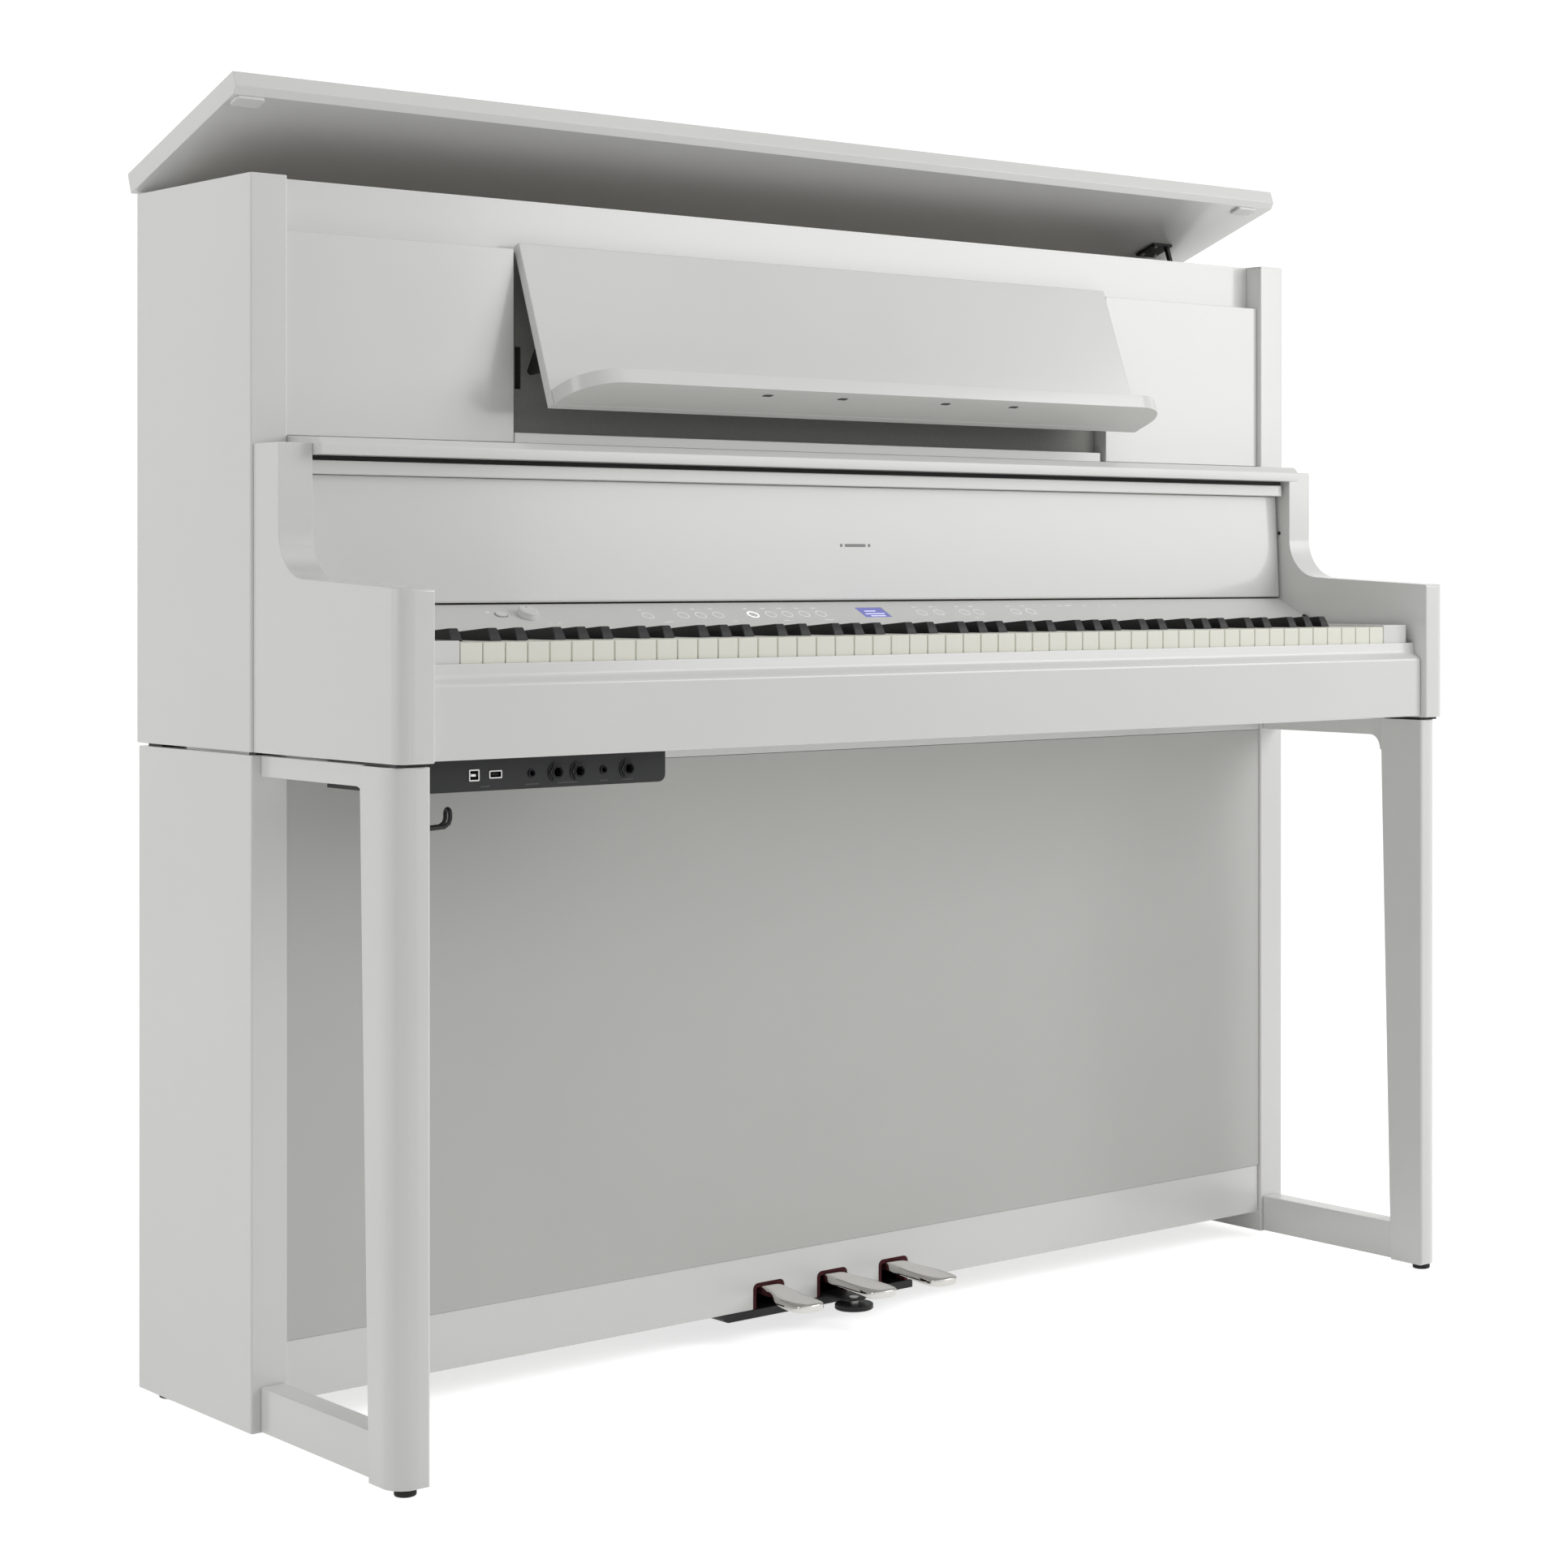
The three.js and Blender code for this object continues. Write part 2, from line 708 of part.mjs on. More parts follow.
function legBottomRail() {
  const bottom = footHeight + 0.7;
  return alongX([
    [legRearY(bottom) + gap, bottom],
    [armReach - gap, bottom],
    [armReach - gap, bottomRailTop, 1],
    [legRearY(bottomRailTop) + gap, bottomRailTop],
  ], ...railX);
}

function sideBoard() {
  const outer = insideHalf + sideBoardThickness;
  const board = alongZ([
    [insideHalf, armReach, 1.5],
    [outer, armReach, 2],
    [outer, rearY - 2, 2],
    [insideHalf, rearY - 2],
  ], footHeight, standTop + 0.4);
  const spacers = [[armReach + 2, armReach + 14], [rearY - 40, rearY - 13]];
  return union([board, ...spacers.map((span) => block([insideHalf + 6, outer - 6], span,
    [standTop, bedUnderside - gap]))]);
}

function foot(x, y, diameter) {
  return bar([x, y, 0], [x, y, footHeight - gap], diameter, 24);
}

function lowerPanel() {
  return block([-fitHalf, fitHalf], [armReach + 3, armReach + 15], [kickTop + gap, bedUnderside - 23.6]);
}

function kickBoard() {
  const y = [armReach + 4.5, armReach + 19.5];
  const board = block([-fitHalf, fitHalf], y, [kickBottom, kickTop]);
  const slots = pedalX.map((x) => alongY([
    [x - slotWidth / 2, kickBottom - 5],
    [x + slotWidth / 2, kickBottom - 5],
    [x + slotWidth / 2, slotTop, 6],
    [x - slotWidth / 2, slotTop, 6],
  ], y[0] - 5, y[1] + 5));
  return board.subtract(union(slots));
}

function lowerRearPanel() {
  return block([-fitHalf, fitHalf], [rearY - 19, rearY - 9], [kickBottom, standTop - 30]);
}

// ---------------------------------------------------------------- pedals

/** Housing open at the front, with the shaft that the pedals turn on. */
function pedalBox() {
  const x = [pedalX[0] - 60, pedalX[2] + 60];
  const y = [armReach + 20, armReach + 171];
  const floor = alongY([
    [x[0], kickBottom - 8.7, 8],
    [pedalX[2] + 27, kickBottom - 8.7, 1],
    [pedalX[2] + 27, kickBottom - gap],
    [x[0], kickBottom - gap],
  ], armReach + 4.5, y[1]);
  const shell = block(x, y, [kickBottom - 4, 100]);
  const hollow = block([x[0] + 3, x[1] - 3], [y[0] - 5, y[1] - 3], [kickBottom - gap, 97]);
  const shaft = bar([x[0] + 1, ...pedalHinge], [x[1] - 1, ...pedalHinge], hingePinDiameter, 20);
  const tongue = alongZ([
    [pedalX[1] - 14, armReach - 40, 8],
    [pedalX[1] + 14, armReach - 40, 8],
    [pedalX[1] + 14, armReach + 10],
    [pedalX[1] - 14, armReach + 10],
  ], kickBottom + 1.4, kickBottom + 3.4);
  const step = block([pedalX[1] - 14, pedalX[1] + 14], [armReach + 5.5, armReach + 12],
    [kickBottom - 2, kickBottom + 3.4]);
  const bolt = bar([pedalX[1], armReach - 32, kickBottom - 12], [pedalX[1], armReach - 32, kickBottom + 5], 12);
  return union([floor, shell.subtract(hollow), shaft, tongue, step]).subtract(bolt);
}

/** Pedal lever: a flat arm through the slot and a wider pad that leans to one side. */
function pedal(x, fan) {
  const [hingeY, hingeZ] = pedalHinge;
  const profile = alongX([
    [pedalFrontY, 39.5, 3],
    [pedalFrontY, 48, 3],
    [armReach - 18, 52],
    [armReach + 4, 55],
    [hingeY + 14, 57, 3],
    [hingeY + 14, 43, 3],
    [armReach + 4, 44],
    [armReach - 20, 42.5],
    [pedalFrontY + 18, 38.2],
  ], x - 60, x + 60);
  const neckY = armReach - 12;
  const padRearY = armReach - 26;
  const arm = pedalArmWidth / 2;
  const pad = pedalPadWidth / 2;
  const plan = alongZ([
    [x - arm, hingeY + 20],
    [x - arm, neckY, 12],
    [x + fan - pad, padRearY - 8, 16],
    [x + fan - pad, pedalFrontY, 18],
    [x + fan + pad, pedalFrontY, 18],
    [x + fan + pad, padRearY - 8, 16],
    [x + arm, neckY, 12],
    [x + arm, hingeY + 20],
  ], 0, 100);
  const bore = bar([x - 20, hingeY, hingeZ], [x + 20, hingeY, hingeZ], hingePinDiameter + 2 * runningGap, 20);
  return profile.intersect(plan).subtract(bore);
}

/** Screw foot under the middle pedal. */
function pedalAdjuster() {
  const centre = [pedalX[1], armReach - 32];
  const disc = bar([...centre, kickBottom - 8], [...centre, kickBottom - 2.5], 41, 40);
  const screw = bar([...centre, kickBottom - 5], [...centre, kickBottom + 4.4], 12 - 2 * runningGap, 24);
  return disc.add(screw);
}

// ---------------------------------------------------------------- fittings

/** Box of sockets under the left end of the keyboard. */
function connectorPanel() {
  const x = [-insideHalf + 5, -insideHalf + 287];
  const bottom = bedUnderside - 30.6;
  const box = alongY([
    [x[0], bottom],
    [x[1], bottom, 7],
    [x[1], bedUnderside - gap],
    [x[0], bedUnderside - gap],
  ], 60, 195);
  const centreZ = bottom + 14;
  const rounds = [[133, 5], [160, 9], [184, 9], [212, 5], [239, 9]].map(([along, diameter]) => {
    const socketX = x[0] + along;
    return bar([socketX, 50, centreZ], [socketX, 80, centreZ], diameter, 20);
  });
  const squares = [[71.5, 10], [94, 13]].map(([along, span]) => {
    const socketX = x[0] + along;
    return block([socketX - span / 2, socketX + span / 2], [50, 75], [centreZ - 3, centreZ + 4]);
  });
  return box.subtract(union([...rounds, ...squares]));
}

/** Bent wire loop on the inner face of the left leg. */
function headphoneHook() {
  const rootX = -insideHalf + gap;
  const tipX = -insideHalf + 40;
  const z = [575, 591];
  const wire = 4;
  const sides = [41, 49].flatMap((y) => [
    bar([rootX, y, z[0]], [tipX, y, z[0]], wire, 12),
    ball([tipX, y, z[0]], wire),
    bar([tipX, y, z[0]], [tipX, y, z[1]], wire, 12),
    ball([tipX, y, z[1]], wire),
  ]);
  const plate = block([rootX, rootX + 2.5], [37, 53], [z[0] - 8, z[0] + 8]);
  return union([...sides, bar([tipX, 41, z[1]], [tipX, 49, z[1]], wire, 12), plate]);
}

/** Speaker with its cone open to the front. */
function speaker() {
  const y = baffleFaceY + boardThickness + gap;
  const profile = [
    [0, 28], [20, 24], [44, 3], [48, 0], [62, 0], [62, 4], [50, 5], [30, 32], [34, 32], [34, 50], [0, 50],
  ].map(([radius, height]) => new THREE.Vector2(radius, height));
  const lathe = new THREE.LatheGeometry(profile, 32);
  return solid(lathe.translate(speakerX, y, upperTop - recessTopDrop - 88));
}

function mainBoard() {
  const z = bedUnderside + 18 + gap;
  const sheet = block([-210, 190], [armReach + 60, armReach + 180], [z + 8, z + 9.6]);
  const posts = [[-200, 70], [180, 70], [-200, 170], [180, 170]].map(([x, y]) =>
    bar([x, armReach + y, z], [x, armReach + y, z + 9], 7, 12));
  const chips = [[-120, 110, 28], [-30, 120, 36], [80, 105, 22]].map(([x, y, size]) =>
    block([x - size / 2, x + size / 2], [armReach + y - size / 2, armReach + y + size / 2], [z + 9, z + 12]));
  return union([sheet, ...posts, ...chips]);
}

/** Mains socket set in the rear panel. */
function powerInlet() {
  const z = [bedUnderside + 33 + gap, bedUnderside + 57 - gap];
  const body = block([540 + gap, 572 - gap], [rearY - 34, rearY - 1.7], z);
  const flange = block([534, 578], [rearY - 1.7, rearY], [z[0] - 6, z[1] + 6]);
  const well = block([544, 568], [rearY - 22, rearY + 5], [z[0] + 4, z[1] - 4]);
  const pins = [550, 562].map((x) => bar([x, rearY - 25, z[0] + 11.7], [x, rearY - 6, z[0] + 11.7], 3, 12));
  return body.add(flange).subtract(well).add(union(pins));
}

// ---------------------------------------------------------------- assembly

pair("side_upper", "satinWhite", upperSide());
pair("arm", "satinWhite", arm());
piece("rear_panel_upper", "backboard", upperRearPanel());
piece("upper_baffle", "satinWhite", upperBaffle());
pair("front_panel", "satinWhite", frontPanel());
piece("music_rest", "satinWhite", musicRest());
piece("music_ledge", "satinWhite", musicLedge());
piece("music_stay", "black", musicStay());
piece("shelf", "satinWhite", shelf());
piece("key_cover", "satinWhite", keyCover());
piece("key_cover_lip", "satinWhite", keyCoverLip());
piece("control_panel", "panelWhite", controlPanel());
piece("display_window", "glass", displayWindow());
piece("power_button", "panelWhite", powerButton());
piece("volume_knob", "panelWhite", volumeKnob());
piece("key_block_left", "satinWhite", keyBlock([-insideHalf + 0.8, keyboardLeft - 0.3], [6, 1]));
piece("key_block_right", "satinWhite", keyBlock([keyboardRight + 0.4, insideHalf - 5.5], [1, 8]));
piece("key_slip", "satinWhite", keySlip());
piece("key_bed", "satinWhite", keyBed());
keyboard();
piece("top_lid", "satinWhite", topLid());
pair("lid_hinge", "steel", lidHinge());
piece("lid_stay", "black", lidStay());
piece("connector_panel", "black", connectorPanel());
piece("headphone_hook", "black", headphoneHook());
pair("side_board", "satinWhite", sideBoard());
pair("leg", "satinWhite", leg());
pair("leg_top_rail", "satinWhite", legTopRail());
pair("leg_bottom_rail", "satinWhite", legBottomRail());
piece("lower_panel", "panelWhite", lowerPanel());
piece("kick_board", "satinWhite", kickBoard());
piece("rear_panel_lower", "backboard", lowerRearPanel());
piece("pedal_box", "black", pedalBox());
pedalNames.forEach((name, index) => piece(`pedal_${name}`, "chrome", pedal(pedalX[index], pedalFan[index])));
piece("pedal_adjuster", "black", pedalAdjuster());
pair("foot_front", "rubber", foot(insideHalf + 17, legFrontY + 14.5, 20));
pair("foot_rear", "rubber", foot(insideHalf + 17, rearY - 32, 24));
pair("speaker", "black", speaker());
piece("main_board", "board", mainBoard());
piece("power_inlet", "black", powerInlet());

/** Rearmost point: the upper rear edge of the open lid. */
const overallDepth = lidHingeY + lidEdgeRadius * (1 - Math.cos(lidOpening))
  + (lidThickness - lidEdgeRadius) * Math.sin(lidOpening);

function meshOf({ name, finish, body }) {
  const { vertProperties, triVerts } = body.translate(0, -overallDepth / 2, 0).getMesh();
  const geometry = new THREE.BufferGeometry();
  geometry.setAttribute("position", new THREE.BufferAttribute(vertProperties, 3));
  geometry.setIndex(new THREE.BufferAttribute(triVerts, 1));
  geometry.computeVertexNormals();
  const mesh = new THREE.Mesh(geometry, new THREE.MeshStandardMaterial(finishes[finish]));
  mesh.name = name;
  mesh.material.name = name;
  return mesh;
}

const piano = new THREE.Group();
piano.name = "digital_piano";
piano.add(...pieces.map(meshOf));

export default piano;
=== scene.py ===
"""Looks of the digital piano: materials, key by key detail, fittings, floor and light."""

import math

import bmesh
import bpy
from mathutils import Matrix, Vector


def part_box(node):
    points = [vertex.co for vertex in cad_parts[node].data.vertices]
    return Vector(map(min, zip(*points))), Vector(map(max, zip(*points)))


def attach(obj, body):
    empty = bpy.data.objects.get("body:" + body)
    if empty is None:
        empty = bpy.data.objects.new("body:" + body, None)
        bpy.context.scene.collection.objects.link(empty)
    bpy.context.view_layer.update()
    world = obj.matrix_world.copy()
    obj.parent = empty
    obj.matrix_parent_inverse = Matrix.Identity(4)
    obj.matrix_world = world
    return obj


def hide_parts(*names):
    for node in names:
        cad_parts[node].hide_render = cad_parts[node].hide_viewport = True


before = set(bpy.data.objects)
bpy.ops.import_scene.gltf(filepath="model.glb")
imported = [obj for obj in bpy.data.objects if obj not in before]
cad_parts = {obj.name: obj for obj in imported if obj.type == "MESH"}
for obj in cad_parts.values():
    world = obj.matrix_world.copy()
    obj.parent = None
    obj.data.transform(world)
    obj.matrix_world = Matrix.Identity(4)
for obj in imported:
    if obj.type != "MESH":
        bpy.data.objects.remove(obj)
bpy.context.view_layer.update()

# Sizes in millimetres, in a building frame whose Y = 0 is the front of the arms.
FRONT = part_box("arm_left")[0].y * 1000
KEY_LEFT, KEY_PITCH, KEY_COUNT = -617.1, 23.5115, 52
KEY_FRONT, KEY_REAR, KEY_TOP, KEY_BOTTOM = 21.2, 228, 738.5, 719.0
KEY_NOTCH = KEY_FRONT + 46.5
HALF_GAP = 0.5
SHARP_FOOT, SHARP_DIP = KEY_FRONT + 48.5, KEY_FRONT + 152.5
SHARP_HALF, SHARP_TAPER, SHARP_RISE = 6.25, 1.35, 12.2
SHARP_ROOM = 7.25
SHARP_SHIFT = {"A": 3.2, "C": -2.5, "D": 2.5, "F": -3.2, "G": 0.0}
PANEL_REAR = (229.0, 769.5)
PANEL_TILT = math.atan(0.5)
REST_HINGE, REST_TILT = (275.0, 1119.0), math.radians(-20.6)
LID_HINGE, LID_TILT = (489.5, 1169.6), math.radians(-19.5)
# Centres on the panel: across, and down its slope.
POWER_BUTTON, VOLUME_KNOB, TOUCH_ROW = (-453.7, 22.0), (-426.0, 24.6), 26.8
PRINT_LOW, PRINT_HIGH = 0.02, 0.12
SOCKET_FACE, SOCKET_LINE = 60, 618
REST_STAY_SLOT = (-388, 1003)
# Name, centre of the arm, and how far the pad leans sideways.
PEDALS = (("soft", -88.3, -4.5), ("sostenuto", -3.1, 8.5), ("damper", 81.8, 7.5))
ROUNDED_OVER = math.radians(35)


# ------------------------------------------------------------------ camera

def make_camera():
    """Level camera off the bass end, a little above the keys, with a shifted lens."""
    data = bpy.data.cameras.new("camera")
    data.lens = 71.61
    data.shift_x = -0.1172
    data.shift_y = -0.1348
    camera = bpy.data.objects.new("camera", data)
    camera.location = (-2.08999, -2.33316 + FRONT / 1000, 0.80026)
    camera.rotation_euler = (math.radians(90), 0, math.radians(-41.274))
    bpy.context.scene.collection.objects.link(camera)
    bpy.context.scene.camera = camera


# ------------------------------------------------------------------ materials

def linear(code):
    """Linear colour of an sRGB hex code."""
    parts = [int(code[i:i + 2], 16) / 255 for i in (1, 3, 5)]
    return [c / 12.92 if c <= 0.04045 else ((c + 0.055) / 1.055) ** 2.4 for c in parts] + [1.0]


def add(tree, kind, inputs=None, **settings):
    """Adds a node, sets its options, and gives each named input a value or a link."""
    node = tree.nodes.new(kind)
    for name, value in settings.items():
        setattr(node, name, value)
    for name, value in (inputs or {}).items():
        if isinstance(value, bpy.types.NodeSocket):
            tree.links.new(value, node.inputs[name])
        else:
            node.inputs[name].default_value = value
    return node


def new_tree(name):
    """Node tree of a new material, with nothing in it."""
    material = bpy.data.materials.new(name)
    material.use_nodes = True
    material.node_tree.nodes.clear()
    return material, material.node_tree


def coated(name, dark, light, roughness, grain_mm, grain_depth, cloud_mm=160, coat=0.0, metallic=0.0,
           ior=1.5, sheen=0.0):
    """A surface whose colour and gloss drift over cloud_mm, with a grain of grain_mm in its relief.

    The grain's depth is in millimetres too.
    """
    material, tree = new_tree(name)
    place = add(tree, "ShaderNodeTexCoord").outputs["Object"]
    cloud = add(tree, "ShaderNodeTexNoise", {"Vector": place, "Scale": 1000 / cloud_mm, "Detail": 3.0})
    grain = add(tree, "ShaderNodeTexNoise", {"Vector": place, "Scale": 1000 / grain_mm, "Detail": 2.0})
    colour = add(tree, "ShaderNodeMixRGB", {
        "Fac": cloud.outputs["Fac"], "Color1": linear(dark), "Color2": linear(light)})
    gloss = add(tree, "ShaderNodeMapRange", {
        "Value": cloud.outputs["Fac"], "To Min": roughness[0], "To Max": roughness[1]})
    relief = add(tree, "ShaderNodeBump", {
        "Height": grain.outputs["Fac"], "Strength": 1.0, "Distance": grain_depth / 1000})
    surface = add(tree, "ShaderNodeBsdfPrincipled", {
        "Base Color": colour.outputs["Color"], "Roughness": gloss.outputs["Result"],
        "Normal": relief.outputs["Normal"], "Metallic": metallic, "IOR": ior,
        "Coat Weight": coat, "Coat Roughness": 0.12, "Sheen Weight": sheen})
    add(tree, "ShaderNodeOutputMaterial", {"Surface": surface.outputs["BSDF"]})
    return material


def lit_glass(name, dark, light, strength):
    """Clear window over a light, whose tone wavers from line to line of the light behind it."""
    line_mm = 6.25
    material, tree = new_tree(name)
    place = add(tree, "ShaderNodeTexCoord").outputs["Object"]
    lines = add(tree, "ShaderNodeTexWave", {"Vector": place, "Scale": 1000 / line_mm, "Distortion": 0.0})
    colour = add(tree, "ShaderNodeMixRGB", {
        "Fac": lines.outputs["Fac"], "Color1": linear(dark), "Color2": linear(light)})
    surface = add(tree, "ShaderNodeBsdfPrincipled", {
        "Base Color": colour.outputs["Color"], "Roughness": 0.08, "IOR": 1.52,
        "Emission Color": colour.outputs["Color"], "Emission Strength": strength})
    add(tree, "ShaderNodeOutputMaterial", {"Surface": surface.outputs["BSDF"]})
    return material


# Sprayed satin polyester lacquer on board: near-white, with a trace of orange peel.
LACQUER = coated("satin_white_lacquer", "#E4E4E2", "#E9E9E7", (0.2, 0.26), 1.6, 0.004, coat=0.35)
# Board of the lower panel: duller and a little greyer than the lacquer, the grey partly its own tone and
# partly painted shade from under the key bed.
LOWER_GREY_AND_SHADE = coated("grey_board_and_painted_shade", "#C7C7C4", "#CDCDCA", (0.5, 0.6), 0.8, 0.008)
# Moulded, painted ABS of the control panel: white, with a soft satin gloss.
PANEL = coated("painted_abs_white", "#E9E9E7", "#EDEDEB", (0.38, 0.46), 0.7, 0.006)
# Acrylic key covering with a faint matt grain, ivory in tone.
IVORY = coated("ivory_acrylic", "#EFEFE2", "#F4F4E8", (0.28, 0.4), 0.45, 0.01, cloud_mm=40, ior=1.49)
# Phenolic sharp, black with a fine matt grain.
EBONY = coated("ebony_phenolic", "#0C0C0D", "#131314", (0.4, 0.5), 0.4, 0.012, cloud_mm=30, ior=1.38)
# Raw fibreboard of the back: flat tan, faintly clouded, with no gloss.
FIBREBOARD = coated("raw_fibreboard", "#B9B2A6", "#C6C0B5", (0.75, 0.88), 1.2, 0.05, cloud_mm=60)
# Powder-coated steel: near-black, with a fine pebbled skin.
BLACK_STEEL = coated("black_powder_coat", "#0A0A0B", "#101011", (0.45, 0.55), 0.6, 0.03, ior=1.4)
# Moulded black ABS with a spark-eroded texture, which spreads its highlights.
BLACK_PLASTIC = coated("black_abs", "#161717", "#1E1F1F", (0.42, 0.52), 0.5, 0.02, ior=1.4)
# Nitrile rubber: black and dull.
RUBBER = coated("black_rubber", "#0B0B0B", "#131313", (0.75, 0.9), 1.0, 0.04)
# Polished nickel and chrome plating on die-cast zinc: a clean mirror of the floor and the lights.
CHROME = coated("polished_chrome", "#BDBBB7", "#C8C6C2", (0.03, 0.06), 3.0, 0.001, cloud_mm=30, metallic=1.0)
# Bright zinc-plated steel of the socket shells and screws: a grey, blurred mirror.
ZINC = coated("zinc_plated_steel", "#B4B5B3", "#C6C7C5", (0.25, 0.38), 0.8, 0.01, metallic=1.0)
# Dark oxide steel of the hinges and nuts: a faint dark sheen.
OXIDE = coated("black_oxide_steel", "#232325", "#303033", (0.35, 0.48), 0.8, 0.015, metallic=1.0)
# Pressed wool felt: deep red and lightless, mottled with its fibres.
RED_FELT = coated("burgundy_wool_felt", "#2E040B", "#480810", (0.9, 1.0), 0.5, 0.25, cloud_mm=6)
# The same felt in black, with a trace of nap.
BLACK_FELT = coated("black_wool_felt", "#0B0B0B", "#181818", (0.9, 1.0), 0.5, 0.25, cloud_mm=6, sheen=0.3)
# Mid grey sheet over the back of the recess: painted shade, darker than the white back it stands for, with a
# fine grain and a soft sheen.
RECESS_PAINTED_SHADE = coated("recess_grey_painted_shade", "#858582", "#999995", (0.85, 0.95), 0.9, 0.25, cloud_mm=3, sheen=0.2)
# Solder-masked glass-fibre board: dark green, half-gloss.
CIRCUIT = coated("green_solder_mask", "#12402A", "#1B5539", (0.3, 0.45), 2.0, 0.03, cloud_mm=9)
# Marks and unlit rings of the touch panel: white print given a painted glow, which makes them a shade
# brighter than the panel round them.
PAINTED_GLOW_WHITE = lit_glass("white_with_painted_glow", "#F4F5F6", "#FFFFFF", 0.28)
# Screen print in mid and dark grey: flat, with a low gloss.
GREY_PRINT = coated("grey_screen_print", "#8E9090", "#9C9E9E", (0.4, 0.5), 0.6, 0.005)
DARK_PRINT = coated("dark_grey_print", "#343535", "#3E3F3F", (0.45, 0.55), 0.6, 0.005)
# Glossy white ABS of the knob and the button: sharper highlights than the panel.
CAP = coated("gloss_abs_white", "#F0F0EE", "#F5F5F3", (0.22, 0.3), 0.8, 0.004)
# The touch ring that is on, and the blue display with its pale lines.
RING_LIGHT = lit_glass("lit_touch_ring", "#F4F6FA", "#FFFFFF", 1.1)
DISPLAY = lit_glass("backlit_display", "#6468B8", "#767AC4", 0.35)
DISPLAY_MARK = lit_glass("display_mark", "#DDE0F4", "#E8EAFA", 0.6)


def lit_paper():
    """Seamless white paper, lit so that it stays whiter than the piano, but sheds no light on it."""
    fibre_mm = 2.5
    material, tree = new_tree("lit_seamless_paper")
    place = add(tree, "ShaderNodeTexCoord").outputs["Object"]
    fibre = add(tree, "ShaderNodeTexNoise", {"Vector": place, "Scale": 1000 / fibre_mm, "Detail": 2.0})
    colour = add(tree, "ShaderNodeMixRGB", {
        "Fac": fibre.outputs["Fac"], "Color1": linear("#F7F7F7"), "Color2": linear("#FAFAFA")})
    scattered = add(tree, "ShaderNodeLightPath").outputs["Is Diffuse Ray"]
    glow = add(tree, "ShaderNodeMapRange", {"Value": scattered, "To Min": 0.7, "To Max": 0.0})
    surface = add(tree, "ShaderNodeBsdfPrincipled", {
        "Base Color": colour.outputs["Color"], "Roughness": 0.9,
        "Emission Color": linear("#FFFFFF"), "Emission Strength": glow.outputs["Result"]})
    add(tree, "ShaderNodeOutputMaterial", {"Surface": surface.outputs["BSDF"]})
    return material


PAPER = lit_paper()


# ------------------------------------------------------------------ shapes

def place(x, y, z):
    """Point given in millimetres of the building frame, in metres of the shared frame."""
    return Vector((x / 1000, (y + FRONT) / 1000, z / 1000))


def tilted(hinge, angle):
    """Matrix that turns building-frame points about an X axis through a hinge."""
    centre = place(0, *hinge)
    return Matrix.Translation(centre) @ Matrix.Rotation(angle, 4, "X") @ Matrix.Translation(-centre)


def on_panel(x, along, height=0.0):
    """Point on the control panel: a distance down its slope from the rear edge, and a height off it."""
    y = PANEL_REAR[0] - along * math.cos(PANEL_TILT) - height * math.sin(PANEL_TILT)
    z = PANEL_REAR[1] - along * math.sin(PANEL_TILT) + height * math.cos(PANEL_TILT)
    return place(x, y, z)


def piece(name, rings, material, body="cabinet", nodes=(), bevel=0.0, segments=2, closed=False, matrix=None,
          subdivide=0):
    """A solid skinned over rings of points, finished, and riding on a body."""
    made = bmesh.new()
    loops = [[made.verts.new(matrix @ point if matrix else point) for point in ring] for ring in rings]
    count = len(loops[0])
    pairs = list(zip(loops, loops[1:] + loops[:1])) if closed else list(zip(loops, loops[1:]))
    for low, high in pairs:
        for i in range(count):
            j = (i + 1) % count
            made.faces.new((low[i], low[j], high[j], high[i]))
    if not closed:
        made.faces.new(list(reversed(loops[0])))
        made.faces.new(loops[-1])
    bmesh.ops.recalc_face_normals(made, faces=made.faces)
    finished(name, made, material, body, nodes, bevel, segments, subdivide)


def finished(name, made, material, body, nodes, bevel, segments, subdivide):
    """Object from a bmesh, with rounded edges, its material, its body and the CAD nodes it stands for."""
    mesh = bpy.data.meshes.new(name)
    made.to_mesh(mesh)
    made.free()
    mesh.shade_smooth()
    item = bpy.data.objects.new(name, mesh)
    bpy.context.scene.collection.objects.link(item)
    mesh.materials.append(material)
    if subdivide:
        surface = item.modifiers.new("subdivision", "SUBSURF")
        surface.levels = subdivide
        surface.render_levels = subdivide
    if bevel:
        rounding(item, bevel, segments)
    elif not subdivide:
        mesh.set_sharp_from_angle(angle=ROUNDED_OVER)
    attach(item, body)
    if nodes:
        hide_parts(*nodes)


def rounding(item, width, segments):
    """Rounds the sharp edges to a width in millimetres, with even shading across the faces."""
    edge = item.modifiers.new("rounded edges", "BEVEL")
    edge.width = width / 1000
    edge.segments = segments
    edge.limit_method = "ANGLE"
    edge.angle_limit = ROUNDED_OVER
    even = item.modifiers.new("even shading", "WEIGHTED_NORMAL")
    even.keep_sharp = False


def prism(axis, corners, low, high):
    """Two rings: an outline in the other two directions, at both ends of a span."""
    def point(a, b, t):
        return {"x": place(t, a, b), "y": place(a, t, b), "z": place(a, b, t)}[axis]
    return [[point(a, b, t) for a, b in corners] for t in (low, high)]


def box(x, y, z):
    """Rings of a block between two limits in each direction."""
    return prism("z", [(x[0], y[0]), (x[1], y[0]), (x[1], y[1]), (x[0], y[1])], *z)


def turned(profile, start, direction, steps=40):
    """Rings of a turned shape: (radius, distance) pairs along a direction from a start point."""
    spin = Vector((0, 0, 1)).rotation_difference(direction).to_matrix()
    rings = []
    for radius, distance in profile:
        ring = []
        for i in range(steps):
            angle = math.tau * i / steps
            local = Vector((radius * math.cos(angle), radius * math.sin(angle), distance)) / 1000
            ring.append(start + spin @ local)
        rings.append(ring)
    return rings


